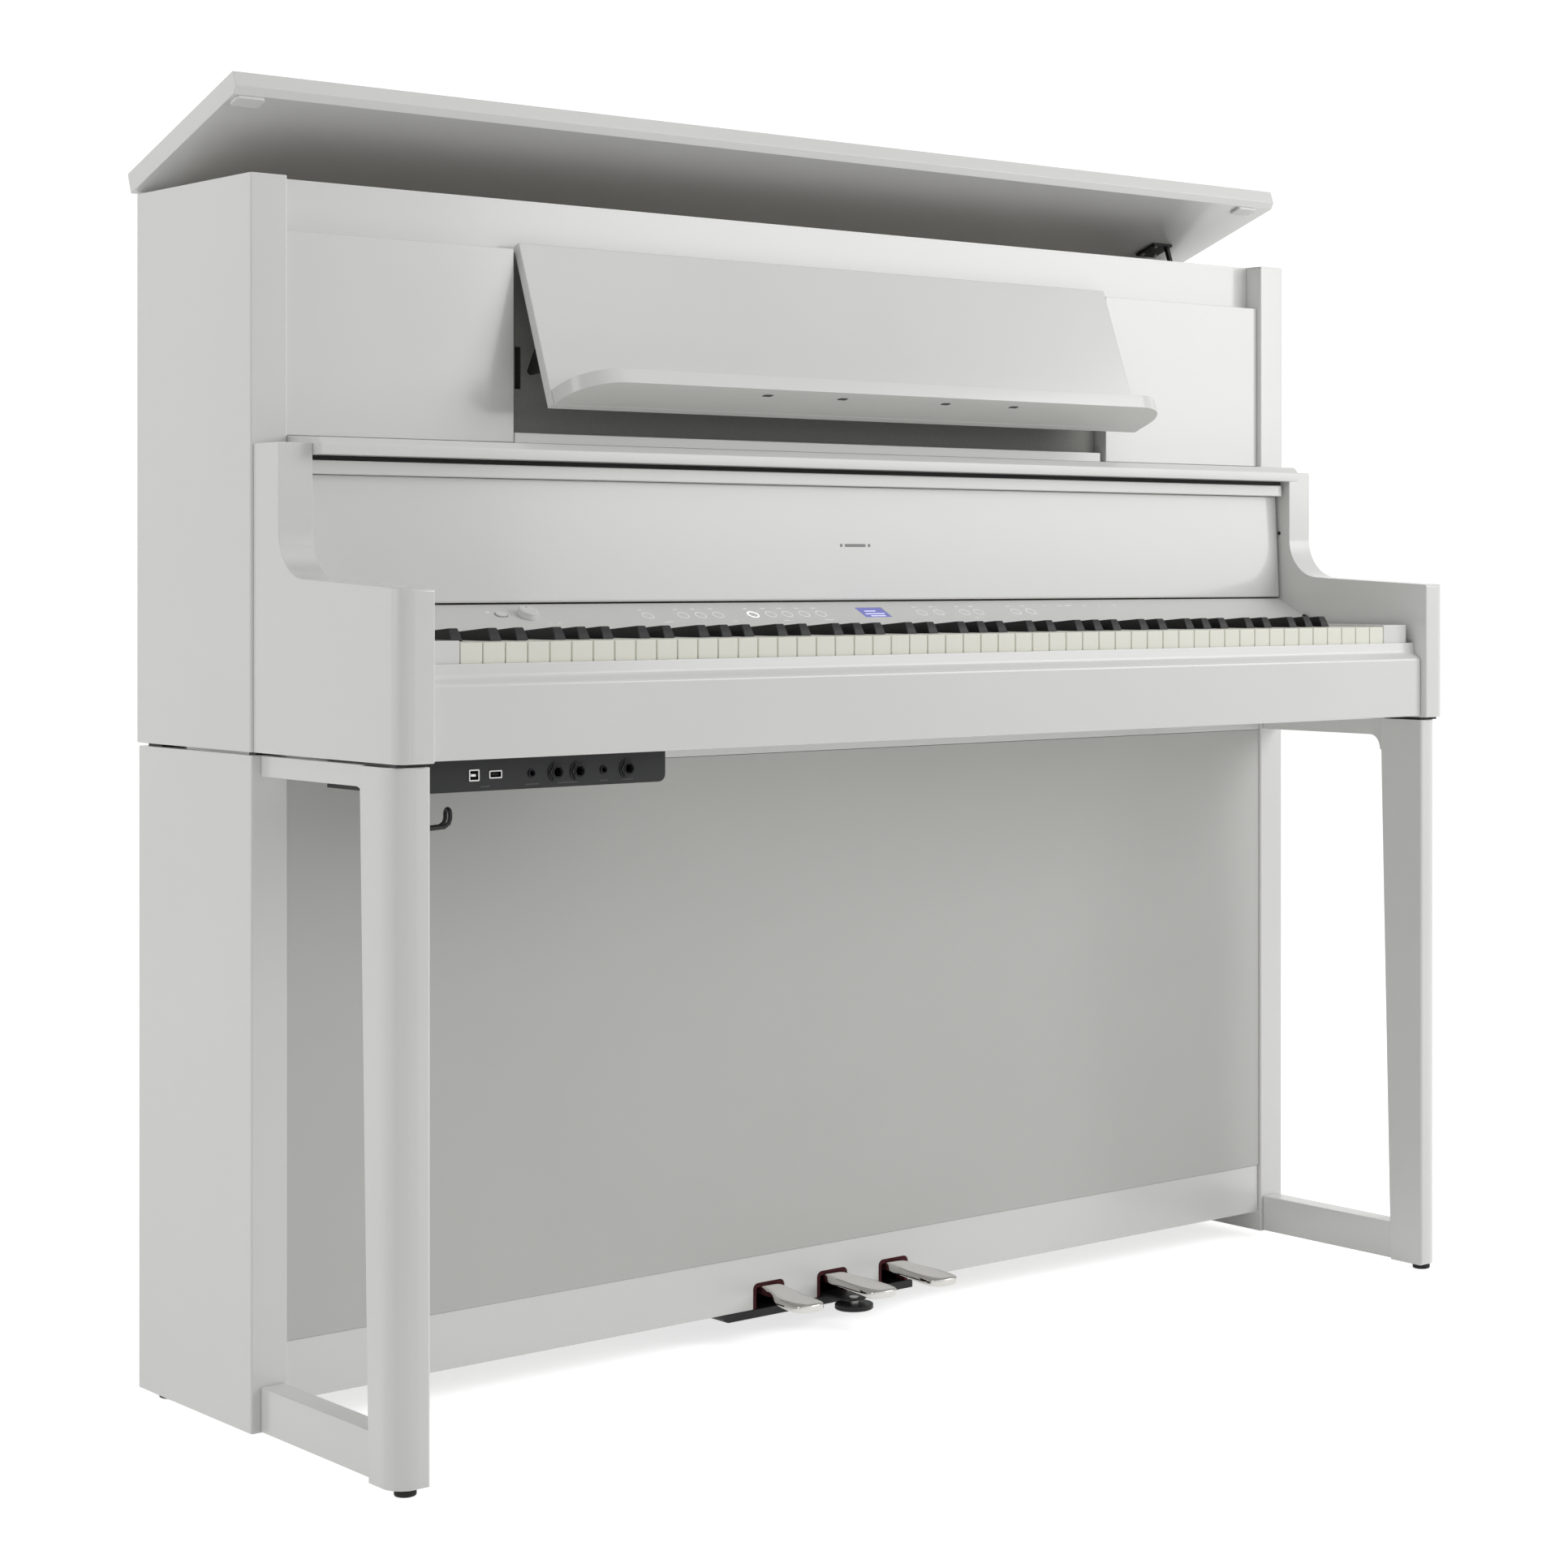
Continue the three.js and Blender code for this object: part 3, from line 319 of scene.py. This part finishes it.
def rounded_box(centre, size, radius, steps=5):
    """Corners of a rectangle with round corners, in two directions."""
    points = []
    for quarter, (sx, sy) in enumerate(((1, 1), (-1, 1), (-1, -1), (1, -1))):
        for i in range(steps + 1):
            angle = math.pi / 2 * (quarter + i / steps)
            points.append((centre[0] + sx * (size[0] / 2 - radius) + radius * math.cos(angle),
                           centre[1] + sy * (size[1] / 2 - radius) + radius * math.sin(angle)))
    return points


# ------------------------------------------------------------------ CAD pieces

def dress(nodes, material, bevel=0.8):
    """Gives CAD nodes a material and fine rounded edges, with their triangles joined to whole faces."""
    for name in nodes:
        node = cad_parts[name]
        node.data.materials.clear()
        node.data.materials.append(material)
        weld = node.modifiers.new("weld", "WELD")
        weld.merge_threshold = 0.00001
        flat = node.modifiers.new("whole faces", "DECIMATE")
        flat.decimate_type = "DISSOLVE"
        flat.angle_limit = math.radians(1)
        rounding(node, bevel, 2)


def dress_frame():
    """Finishes of every part that keeps its CAD shape."""
    both = ("left", "right")
    lacquered = ["upper_baffle", "music_rest", "music_ledge", "shelf", "key_cover", "key_cover_lip",
                 "key_slip", "key_bed", "top_lid", "kick_board"]
    for name in ("side_upper", "arm", "front_panel", "key_block", "side_board", "leg", "leg_top_rail",
                 "leg_bottom_rail"):
        lacquered += [f"{name}_{side}" for side in both]
    dress(lacquered, LACQUER)
    # The lower panel's grey is partly painted shade from under the key bed.
    dress(["lower_panel"], LOWER_GREY_AND_SHADE, 0.5)
    dress(["control_panel"], PANEL, 0.3)
    dress(["power_button"], CAP, 0.4)
    dress(["rear_panel_upper", "rear_panel_lower"], FIBREBOARD, 0.5)
    dress(["music_stay", "pedal_box", "lid_stay"], BLACK_STEEL, 0.5)
    dress([f"lid_hinge_{side}" for side in both], OXIDE, 0.3)
    dress(["connector_panel", "power_inlet"], BLACK_PLASTIC, 0.4)
    dress([f"speaker_{side}" for side in both], BLACK_PLASTIC, 0.4)
    dress(["main_board"], CIRCUIT, 0.2)
    dress(["display_window"], DISPLAY, 0.2)


# ------------------------------------------------------------------ keys

NOTES = "ABCDEFG"
# White and black keys that move alone: their body and their CAD node.
SINGLE = {23: ("key_c4", "white_key_c4"), 24: ("key_d4", "white_key_d4"), 25: ("key_e4", "white_key_e4")}
SINGLE_SHARP = {23: ("key_c_sharp_4", "black_key_c_sharp_4"), 24: ("key_d_sharp_4", "black_key_d_sharp_4")}


def has_sharp(index):
    """Whether a sharp stands between this white key and the next."""
    return 0 <= index < KEY_COUNT - 1 and NOTES[index % 7] in SHARP_SHIFT


def sharp_x(index):
    """Centre of the sharp above a white key, which leans out of the middle of its group."""
    return KEY_LEFT + KEY_PITCH * (index + 1) + SHARP_SHIFT[NOTES[index % 7]]


def white_key(index):
    """A natural: full width in front of the sharps, cut back beside them behind its notch."""
    left = KEY_LEFT + KEY_PITCH * index + HALF_GAP
    right = left + KEY_PITCH - 2 * HALF_GAP
    tail_left = max(left, sharp_x(index - 1) + SHARP_ROOM) if has_sharp(index - 1) else left
    tail_right = min(right, sharp_x(index) - SHARP_ROOM) if has_sharp(index) else right
    tail = KEY_NOTCH + 0.01
    plan = [(left, KEY_FRONT), (right, KEY_FRONT), (right, KEY_NOTCH), (tail_right, tail),
            (tail_right, KEY_REAR), (tail_left, KEY_REAR), (tail_left, tail), (left, KEY_NOTCH)]
    body, node = SINGLE.get(index, ("white_bank", "white_keys"))
    piece(f"white_key_{index + 1:02d}", prism("z", plan, KEY_BOTTOM, KEY_TOP), IVORY, body, [node],
          bevel=0.9, segments=3)


def black_key(index):
    """A sharp that narrows upward, steep in front, and dips at its rear to pass under the panel."""
    centre, foot = sharp_x(index), KEY_BOTTOM + 3
    stations = [(SHARP_FOOT, 0.6), (SHARP_FOOT + 3.2, 7.0), (SHARP_FOOT + 6.4, 11.9), (SHARP_DIP, 3.7),
                (SHARP_DIP + 3, 1.1), (SHARP_DIP + 15, 1.1), (SHARP_DIP + 28, 9.0), (209.0, 10.5)]
    rings = []
    for y, rise in stations:
        top = SHARP_HALF - SHARP_TAPER * rise / SHARP_RISE
        rings.append([place(centre + x, y, z) for x, z in (
            (-SHARP_HALF, foot), (SHARP_HALF, foot), (SHARP_HALF, KEY_TOP), (top, KEY_TOP + rise),
            (-top, KEY_TOP + rise), (-SHARP_HALF, KEY_TOP))])
    body, node = SINGLE_SHARP.get(index, ("black_bank", "black_keys"))
    piece(f"black_key_{index + 1:02d}", rings, EBONY, body, [node], bevel=1.3, segments=3)


def key_set():
    """All 88 keys, the rails that join the two banks, and the felt they rest on."""
    for index in range(KEY_COUNT):
        white_key(index)
        if has_sharp(index):
            black_key(index)
    white_rail = box((KEY_LEFT + HALF_GAP, 605.0), (230, 242), (715.5, 735.5))
    piece("white_key_rail", white_rail, IVORY, "white_bank", bevel=0.5)
    black_rail = box((sharp_x(0) - 5, sharp_x(49) + 5), (213.5, 225), (741.3, 749.1))
    piece("black_key_rail", black_rail, EBONY, "black_bank", bevel=0.5)
    # Red bushing cloth under the keys, on the rail they pivot on.
    piece("key_rail_felt", box((-640, 640), (232, 250), (712.6, 714.2)), RED_FELT)


# ------------------------------------------------------------------ control panel

def mark(name, x, along, size, material, height=PRINT_HIGH):
    """Small flat printed shape on the control panel."""
    w, d = size
    corners = [(x - w / 2, along - d / 2), (x + w / 2, along - d / 2), (x + w / 2, along + d / 2),
               (x - w / 2, along + d / 2)]
    piece(name, [[on_panel(a, b, h) for a, b in corners] for h in (PRINT_LOW, height)], material)


def touch_ring(name, x, along, radius, width, material):
    """Thin printed circle, made as a closed band."""
    steps, top = 40, 0.14
    rings = []
    for i in range(steps):
        angle = math.tau * i / steps
        rings.append([on_panel(x + r * math.cos(angle), along + r * math.sin(angle), h) for r, h in (
            (radius - width, PRINT_LOW), (radius, PRINT_LOW), (radius, top), (radius - width, top))])
    piece(name, rings, material, closed=True)


def control_panel():
    """Touch rings in one row, with a short plain dash for each label, and lines on the display."""
    above, below = TOUCH_ROW - 13, TOUCH_ROW + 14
    faint = (-285, -241.6, -220, -198, -131, -109.7, -87.3, -65.2, 72.7, 96.4, 133.4, 153.7, 208.4, 230.2)
    for number, x in enumerate(faint):
        touch_ring(f"touch_ring_{number + 1:02d}", x, TOUCH_ROW, 6.4, 0.8, PAINTED_GLOW_WHITE)
        mark(f"touch_label_{number + 1:02d}", x - 2, above, (5.5, 1.1), PAINTED_GLOW_WHITE)
    touch_ring("touch_ring_lit", -153.8, TOUCH_ROW, 6.6, 1.1, RING_LIGHT)
    mark("touch_label_lit", -155.8, above, (4.5, 1.3), PAINTED_GLOW_WHITE)
    upper_dashes = ((260.6, 3), (284, 5), (297, 9), (322.7, 4), (369.5, 4), (345, 2.5))
    for number, (x, w) in enumerate(upper_dashes):
        mark(f"function_label_{number + 1}", x, above, (w, 1.2), PAINTED_GLOW_WHITE)
    lower_dashes = ((-268, 10), (-186, 6), (-120, 8), (-64, 12), (140, 7), (-398, 3), (-408, 2))
    for number, (x, w) in enumerate(lower_dashes):
        mark(f"lower_label_{number + 1}", x, below, (w, 0.8), PAINTED_GLOW_WHITE)
    mark("power_label", POWER_BUTTON[0] - 12, POWER_BUTTON[1] - 6, (3, 1.6), PAINTED_GLOW_WHITE)
    for number, (x, along, w) in enumerate(((4, 20, 15), (7, 26, 26), (8, 31, 20))):
        mark(f"display_line_{number + 1}", x, along + 2, (w, 1.8), DISPLAY_MARK, 0.05)


def panel_trim():
    """Grey rim round the power button, and a rubber stop at the treble end of the panel."""
    outer = rounded_box(POWER_BUTTON, (14.2, 10.1), 4.9)
    inner = rounded_box(POWER_BUTTON, (12.9, 8.8), 4.3)
    rim = [[on_panel(a, b, h) for a, b in ring] for ring, h in (
        (outer, PRINT_LOW), (outer, 0.2), (inner, 0.2), (inner, PRINT_LOW))]
    piece("power_rim", rim, GREY_PRINT, closed=True)
    stop = rounded_box((652.2, 50), (4.2, 8), 1.2)
    piece("panel_end_stop", [[on_panel(a, b, h) for a, b in stop] for h in (0.05, 2.4)], RUBBER, bevel=0.4)


def knob():
    """Volume knob: a low turned cap with a soft shoulder and a shallow dish."""
    start = on_panel(*VOLUME_KNOB, 0.3)
    direction = on_panel(0, 0, 1) - on_panel(0, 0, 0)
    profile = [(7.5, 0.0), (9.7, 0.0), (9.9, 0.4), (9.9, 5.4), (9.5, 6.5), (8.7, 7.05), (7.6, 7.15),
               (6.8, 7.0), (3.0, 6.8), (0.4, 6.75)]
    piece("volume_knob_cap", turned(profile, start, direction, 64), CAP, "knob", ["volume_knob"])
    shaft = turned([(3.0, -6.0), (3.0, 0.2)], start, direction, 24)
    piece("volume_knob_shaft", shaft, ZINC, "knob")
    pointer = [[start + Matrix.Rotation(PANEL_TILT, 3, "X") @ (Vector((x, y, h)) / 1000) for x, y in (
        (-0.4, 3.8), (0.4, 3.8), (0.4, 6.8), (-0.4, 6.8))] for h in (6.8, 7.1)]
    piece("volume_knob_pointer", pointer, GREY_PRINT, "knob")


# ------------------------------------------------------------------ cabinet details

def cabinet_details():
    """Felt, buffers, seam spacers, and the grey sheet of painted shade at the back of the recess."""
    piece("shelf_felt", box((-650, 650), (222, 240), (904.6, 908.3)), BLACK_FELT)
    for side in (-1, 1):
        name = "right" if side > 0 else "left"
        inward = Vector((-side, 0, 0))
        dot = turned([(2.0, 0), (2.0, 0.9), (1.2, 1.6)], place(side * 654.9, 228.5, 847.5), inward, 20)
        piece(f"cover_buffer_{name}", dot, RUBBER)
        for number, (y0, y1) in enumerate(((261, 273), (447, 474))):
            x = sorted((side * 660.5, side * 686.5))
            spacer = box(x, (y0 - 0.5, y1 + 0.5), (632.1, 634.5))
            piece(f"seam_spacer_{name}_{number + 1}", spacer, BLACK_PLASTIC)
        x = sorted((side * 657, side * 687))
        piece(f"leg_seam_plate_{name}", box(x, (12, 66), (631.7, 634.3)), BLACK_PLASTIC, bevel=0.3)
    # Grey sheet of painted shade over the back of the recess, cut out round the slot for the stay of the
    # music rest.
    shade_sheets = (((-401, -391.5), (938, 1117)), ((-391.5, -384.5), (938, 982)),
              ((-391.5, -384.5), (1024, 1117)), ((-384.5, 401), (938, 1117)))
    for number, (x, z) in enumerate(shade_sheets):
        piece(f"recess_shade_sheet_{number + 1}", box(x, (281.4, 282.1), z), RECESS_PAINTED_SHADE)
    across, up = REST_STAY_SLOT
    lining = [[place(x, y, z) for x, z in (
        (across - a, up - b), (across + a, up - b), (across + a, up + b), (across - a, up + b))]
        for a, b, y in ((3.4, 20.9, 282.1), (3.4, 20.9, 297.2), (2.6, 20.1, 297.2), (2.6, 20.1, 282.1))]
    piece("recess_slot_lining", lining, BLACK_FELT, closed=True)
    ornament()


def ornament():
    """A plain ornament on the key cover: a short bar between two small squares."""
    y, z, half = 229.1 - 0.12, 829, 1.6
    for number, (x, w) in enumerate(((-19, 3.2), (0, 28), (19, 3.2))):
        rings = [[place(x + a, y + t, z + b) for a, b in (
            (-w / 2, -half), (w / 2, -half), (w / 2, half), (-w / 2, half))] for t in (-0.25, 0.4)]
        piece(f"cover_ornament_{number + 1}", rings, GREY_PRINT, "cover")


def lid_details():
    """Bumper pads, and the screws of the stay's plate, on the underside of the lid."""
    turn = tilted(LID_HINGE, LID_TILT)
    for name, x in (("left", -679), ("right", 657)):
        pad = prism("z", rounded_box((x, 279), (30, 17), 4), 1166.6, 1169.5)
        piece(f"lid_bumper_{name}", pad, PANEL, "lid", bevel=0.6, matrix=turn)
    for number, (x, y) in enumerate(((609, 388), (609, 411), (629, 411))):
        screw = turned([(2.6, 0), (2.6, 0.6), (1.4, 1.3)], place(x, y, 1166.3), Vector((0, 0, -1)), 16)
        piece(f"lid_stay_screw_{number + 1}", screw, ZINC, "lid", matrix=turn)


def rest_details():
    """Black pads of painted shade that fill the slots under the ledge, and the leaves of the rest's hinges.
    """
    turn = tilted(REST_HINGE, REST_TILT)
    for number, x in enumerate((-167, -70, 70, 167)):
        # Black felt pads fill the slots: painted shade for the dark inside of the slots.
        pad = prism("z", rounded_box((x, 220.15), (12.4, 5.9), 2.8), 948.4, 950.9)
        piece(f"ledge_slot_shade_pad_{number + 1}", pad, BLACK_FELT, "rest", matrix=turn)
    for side in (-1, 1):
        name = "right" if side > 0 else "left"
        x = sorted((side * 355, side * 385))
        leaf = box(x, (273.4, 274.6), (1086, 1116))
        piece(f"rest_hinge_leaf_{name}", leaf, OXIDE, "rest", bevel=0.3, matrix=turn)


# ------------------------------------------------------------------ sockets and hook

def sockets():
    """Nuts, shells and prints around the sockets under the bass end."""
    out = Vector((0, -1, 0))
    washer = [(9.5, 0), (9.5, 0.9), (4.6, 0.9), (4.6, 0)]
    nut = [(8.5, 0.9), (8.5, 2.4), (4.6, 2.5), (4.6, 0.9)]
    sleeve = [(6.0, 2.4), (6.0, 3.1), (4.5, 3.2), (4.5, 2.4)]
    small_sleeve = [(4.0, 0), (4.0, 1.2), (2.6, 1.4), (2.6, 0)]
    for number, x in enumerate((-490, -466, -411)):
        hole = place(x, SOCKET_FACE, SOCKET_LINE)
        piece(f"jack_washer_{number + 1}", turned(washer, hole, out), BLACK_PLASTIC, closed=True)
        piece(f"jack_nut_{number + 1}", turned(nut, hole, out, 6), BLACK_PLASTIC, closed=True, bevel=0.3)
        piece(f"jack_sleeve_{number + 1}", turned(sleeve, hole, out), OXIDE, closed=True, bevel=0.2)
    for number, x in enumerate((-517, -438)):
        hole = place(x, SOCKET_FACE, SOCKET_LINE)
        piece(f"mini_jack_{number + 1}", turned(small_sleeve, hole, out), OXIDE, closed=True, bevel=0.2)
    shells = (("device", -578.5, (11, 10.6), (8.6, 8.2)), ("host", -556, (13.6, 7.2), (11.4, 5.0)))
    for name, x, size, inner in shells:
        outer_edge = rounded_box((x, SOCKET_LINE + 0.5), size, 1.0)
        inner_edge = rounded_box((x, SOCKET_LINE + 0.5), inner, 0.6)
        rings = [[place(a, y, b) for a, b in ring] for ring, y in (
            (outer_edge, SOCKET_FACE), (outer_edge, SOCKET_FACE - 0.8),
            (inner_edge, SOCKET_FACE - 0.8), (inner_edge, SOCKET_FACE))]
        piece(f"usb_{name}_shell", rings, ZINC, closed=True)
        tongue = box((x - inner[0] / 2 + 2, x + inner[0] / 2 - 2), (60.5, 72), (617.4, 619.4))
        # The white tongue of the device socket carries the same painted glow.
        piece(f"usb_{name}_tongue", tongue, PAINTED_GLOW_WHITE if name == "device" else BLACK_FELT)
    for number, (x, w) in enumerate(((-567, 10), (-517, 15), (-478, 22), (-438, 9), (-411, 12))):
        print_ = box((x - w / 2, x + w / 2), (59.85, 60.2), (607.4, 608.6))
        piece(f"socket_print_{number + 1}", print_, DARK_PRINT)


def hook():
    """Headphone hook: one wire doubled back on itself, on a small screwed plate."""
    across, front, rear, height = -615, 41, 49, 575
    wire_steps, wire_radius = 14, 0.002
    flat = [(-653.5, 0), (-634, 0), (-621, 0.7), (-616.4, 3.6), (-615, 8), (-615, 12)]
    path = []
    for x, z in flat:
        path.append(place(x, front, height + z))
    for i in range(1, 8):
        angle = math.pi * i / 8
        path.append(place(across, 45 - 4 * math.cos(angle), height + 12 + 4 * math.sin(angle)))
    for x, z in reversed(flat):
        path.append(place(x, rear, height + z))
    rings = []
    previous = None
    for i, point in enumerate(path):
        along = (path[min(i + 1, len(path) - 1)] - path[max(i - 1, 0)]).normalized()
        side = previous - along * previous.dot(along) if previous else along.cross(Vector((0, 1, 0)))
        side.normalize()
        previous = side
        lift = along.cross(side)
        turns = [math.tau * k / wire_steps for k in range(wire_steps)]
        rings.append([point + (side * math.cos(t) + lift * math.sin(t)) * wire_radius for t in turns])
    piece("headphone_hook_wire", rings, BLACK_STEEL, nodes=["headphone_hook"])
    plate = prism("x", rounded_box((45, height), (16, 16), 3), -654.7, -652.2)
    piece("headphone_hook_plate", plate, BLACK_STEEL, bevel=0.4)


# ------------------------------------------------------------------ pedals and feet

def pedal(name, x, fan):
    """Cast pedal: a square arm that widens into a rounded, domed pad."""
    steps = 24
    # Each station: Y, sideways lean, half width, top, underside, and how round the section is.
    stations = (
        (344, 0, 12.8, 57.0, 43.0, 0.05), (300, 0, 12.9, 56.0, 43.5, 0.05), (262, 0, 12.9, 55.0, 44.0, 0.05),
        (250, 0, 13.0, 53.5, 43.3, 0.06), (241, fan * 0.3, 13.8, 52.2, 42.6, 0.08),
        (231, fan * 0.7, 16.2, 51.0, 41.6, 0.1), (220, fan * 0.95, 18.4, 50.0, 40.4, 0.12),
        (206, fan, 18.9, 49.2, 39.0, 0.12), (195, fan, 18.9, 48.6, 38.5, 0.12),
        (187, fan, 17.2, 48.2, 38.8, 0.15), (181.8, fan, 13.0, 48.0, 39.3, 0.2),
        (179.5, fan, 8.0, 47.6, 39.9, 0.3), (179.2, fan, 3.6, 47.0, 40.6, 0.5))
    rings = []
    for y, lean, half, top, bottom, soft in stations:
        ring = []
        for i in range(steps):
            angle = math.tau * i / steps
            power = 0.35 + 0.5 * soft
            across = math.copysign(abs(math.cos(angle)) ** power, math.cos(angle)) * half
            height = math.copysign(abs(math.sin(angle)) ** power, math.sin(angle)) * (top - bottom) / 2
            ring.append(place(x + lean + across, y, (top + bottom) / 2 + height))
        rings.append(ring)
    piece(f"pedal_{name}_cast", rings, CHROME, f"{name}_pedal", [f"pedal_{name}"], subdivide=1)


def slot_lining(number, x):
    """Felt band round the inside of a pedal slot."""
    outer = [(x - 20.4, 30.2), (x - 20.4, 51.2), (x - 18.6, 55.2), (x - 14.7, 56.8), (x + 14.7, 56.8),
             (x + 18.6, 55.2), (x + 20.4, 51.2), (x + 20.4, 30.2)]
    inner = [(x - 16.4, 30.2), (x - 16.4, 50.2), (x - 15.7, 52.0), (x - 14.4, 52.7), (x + 14.4, 52.7),
             (x + 15.7, 52.0), (x + 16.4, 50.2), (x + 16.4, 30.2)]
    corners = outer + list(reversed(inner))
    piece(f"pedal_slot_felt_{number + 1}", prism("y", corners, 263.9, 278.2), RED_FELT)


def pedals_and_feet():
    """Pedals in their felted slots, the screw that props them on the floor, and four rubber feet."""
    for number, (name, x, fan) in enumerate(PEDALS):
        pedal(name, x, fan)
        slot_lining(number, x)
    disc = [(19.6, 0), (20.4, 0.7), (20.4, 2.2), (20.0, 2.6), (20.0, 3.0), (20.4, 3.4), (20.4, 4.7),
            (19.6, 5.4)]
    centre = place(-3.1, 227, 22)
    piece("adjuster_disc", turned(disc, centre, Vector((0, 0, 1)), 72), BLACK_PLASTIC, "adjuster",
          ["pedal_adjuster"])
    screw = turned([(5.3, 5.2), (5.3, 12.3)], centre, Vector((0, 0, 1)), 32)
    piece("adjuster_screw", screw, ZINC, "adjuster")
    for side in (-1, 1):
        name = "right" if side > 0 else "left"
        for end, y, radius in (("front", 22, 10), ("rear", 455, 12)):
            profile = [(radius - 1.8, 0), (radius - 0.6, 0.5), (radius - 0.1, 1.6), (radius - 0.1, 5.6),
                       (radius - 0.8, 6.5)]
            pad = turned(profile, place(side * 672, y, 0), Vector((0, 0, 1)))
            piece(f"foot_{end}_{name}_pad", pad, RUBBER, nodes=[f"foot_{end}_{name}"])


# ------------------------------------------------------------------ back

def back_details():
    """Screws round the rear panels, as they show from behind."""
    rear = Vector((0, 1, 0))
    columns = (-640, -320, 0, 320, 640)
    spots = [("upper", x, z, 485.0) for x in columns for z in (650, 1152)]
    spots += [("lower", x, z, 478.0) for x in columns for z in (45, 588)]
    for number, (name, x, z, y) in enumerate(spots):
        head = turned([(4.0, 0), (4.0, 0.5), (2.6, 1.4), (0.9, 1.5)], place(x, y, z), rear, 18)
        piece(f"rear_screw_{name}_{number + 1:02d}", head, OXIDE)


# ------------------------------------------------------------------ studio

def area_light(name, location, target, size, power):
    """White area light of a size in metres and a power in watts, aimed at a point."""
    data = bpy.data.lights.new(name, "AREA")
    data.shape = "RECTANGLE"
    data.size, data.size_y = size
    data.energy = power
    light = bpy.data.objects.new(name, data)
    light.location = location
    light.rotation_euler = (Vector(target) - Vector(location)).to_track_quat("-Z", "Y").to_euler()
    bpy.context.scene.collection.objects.link(light)


def studio():
    """Pale floor, a white room dimmer to the piano than to the eye, and three large soft lights."""
    made = bmesh.new()
    bmesh.ops.create_grid(made, x_segments=1, y_segments=1, size=30)
    mesh = bpy.data.meshes.new("floor")
    made.to_mesh(mesh)
    made.free()
    mesh.materials.append(PAPER)
    floor = bpy.data.objects.new("floor", mesh)
    bpy.context.scene.collection.objects.link(floor)
    world = bpy.data.worlds.new("studio")
    world.use_nodes = True
    world.node_tree.nodes.clear()
    scattered = add(world.node_tree, "ShaderNodeLightPath").outputs["Is Diffuse Ray"]
    strength = add(world.node_tree, "ShaderNodeMapRange", {"Value": scattered, "To Min": 1.1, "To Max": 0.36})
    sky = add(world.node_tree, "ShaderNodeBackground", {
        "Color": linear("#FFFFFF"), "Strength": strength.outputs["Result"]})
    add(world.node_tree, "ShaderNodeOutputWorld", {"Surface": sky.outputs["Background"]})
    bpy.context.scene.world = world
    bpy.context.scene.view_settings.view_transform = "Standard"
    area_light("key", (2.1, -2.3, 1.8), (0.3, 0, 0.7), (1.8, 1.8), 35)
    area_light("top", (0.4, -1.4, 3.0), (0.2, 0, 0.7), (2.0, 1.4), 5)
    area_light("fill", (-4.5, 1.0, 2.0), (-0.5, 0.1, 0.7), (2.5, 2.5), 33)


make_camera()
dress_frame()
key_set()
control_panel()
panel_trim()
knob()
cabinet_details()
lid_details()
rest_details()
sockets()
hook()
pedals_and_feet()
back_details()
studio()
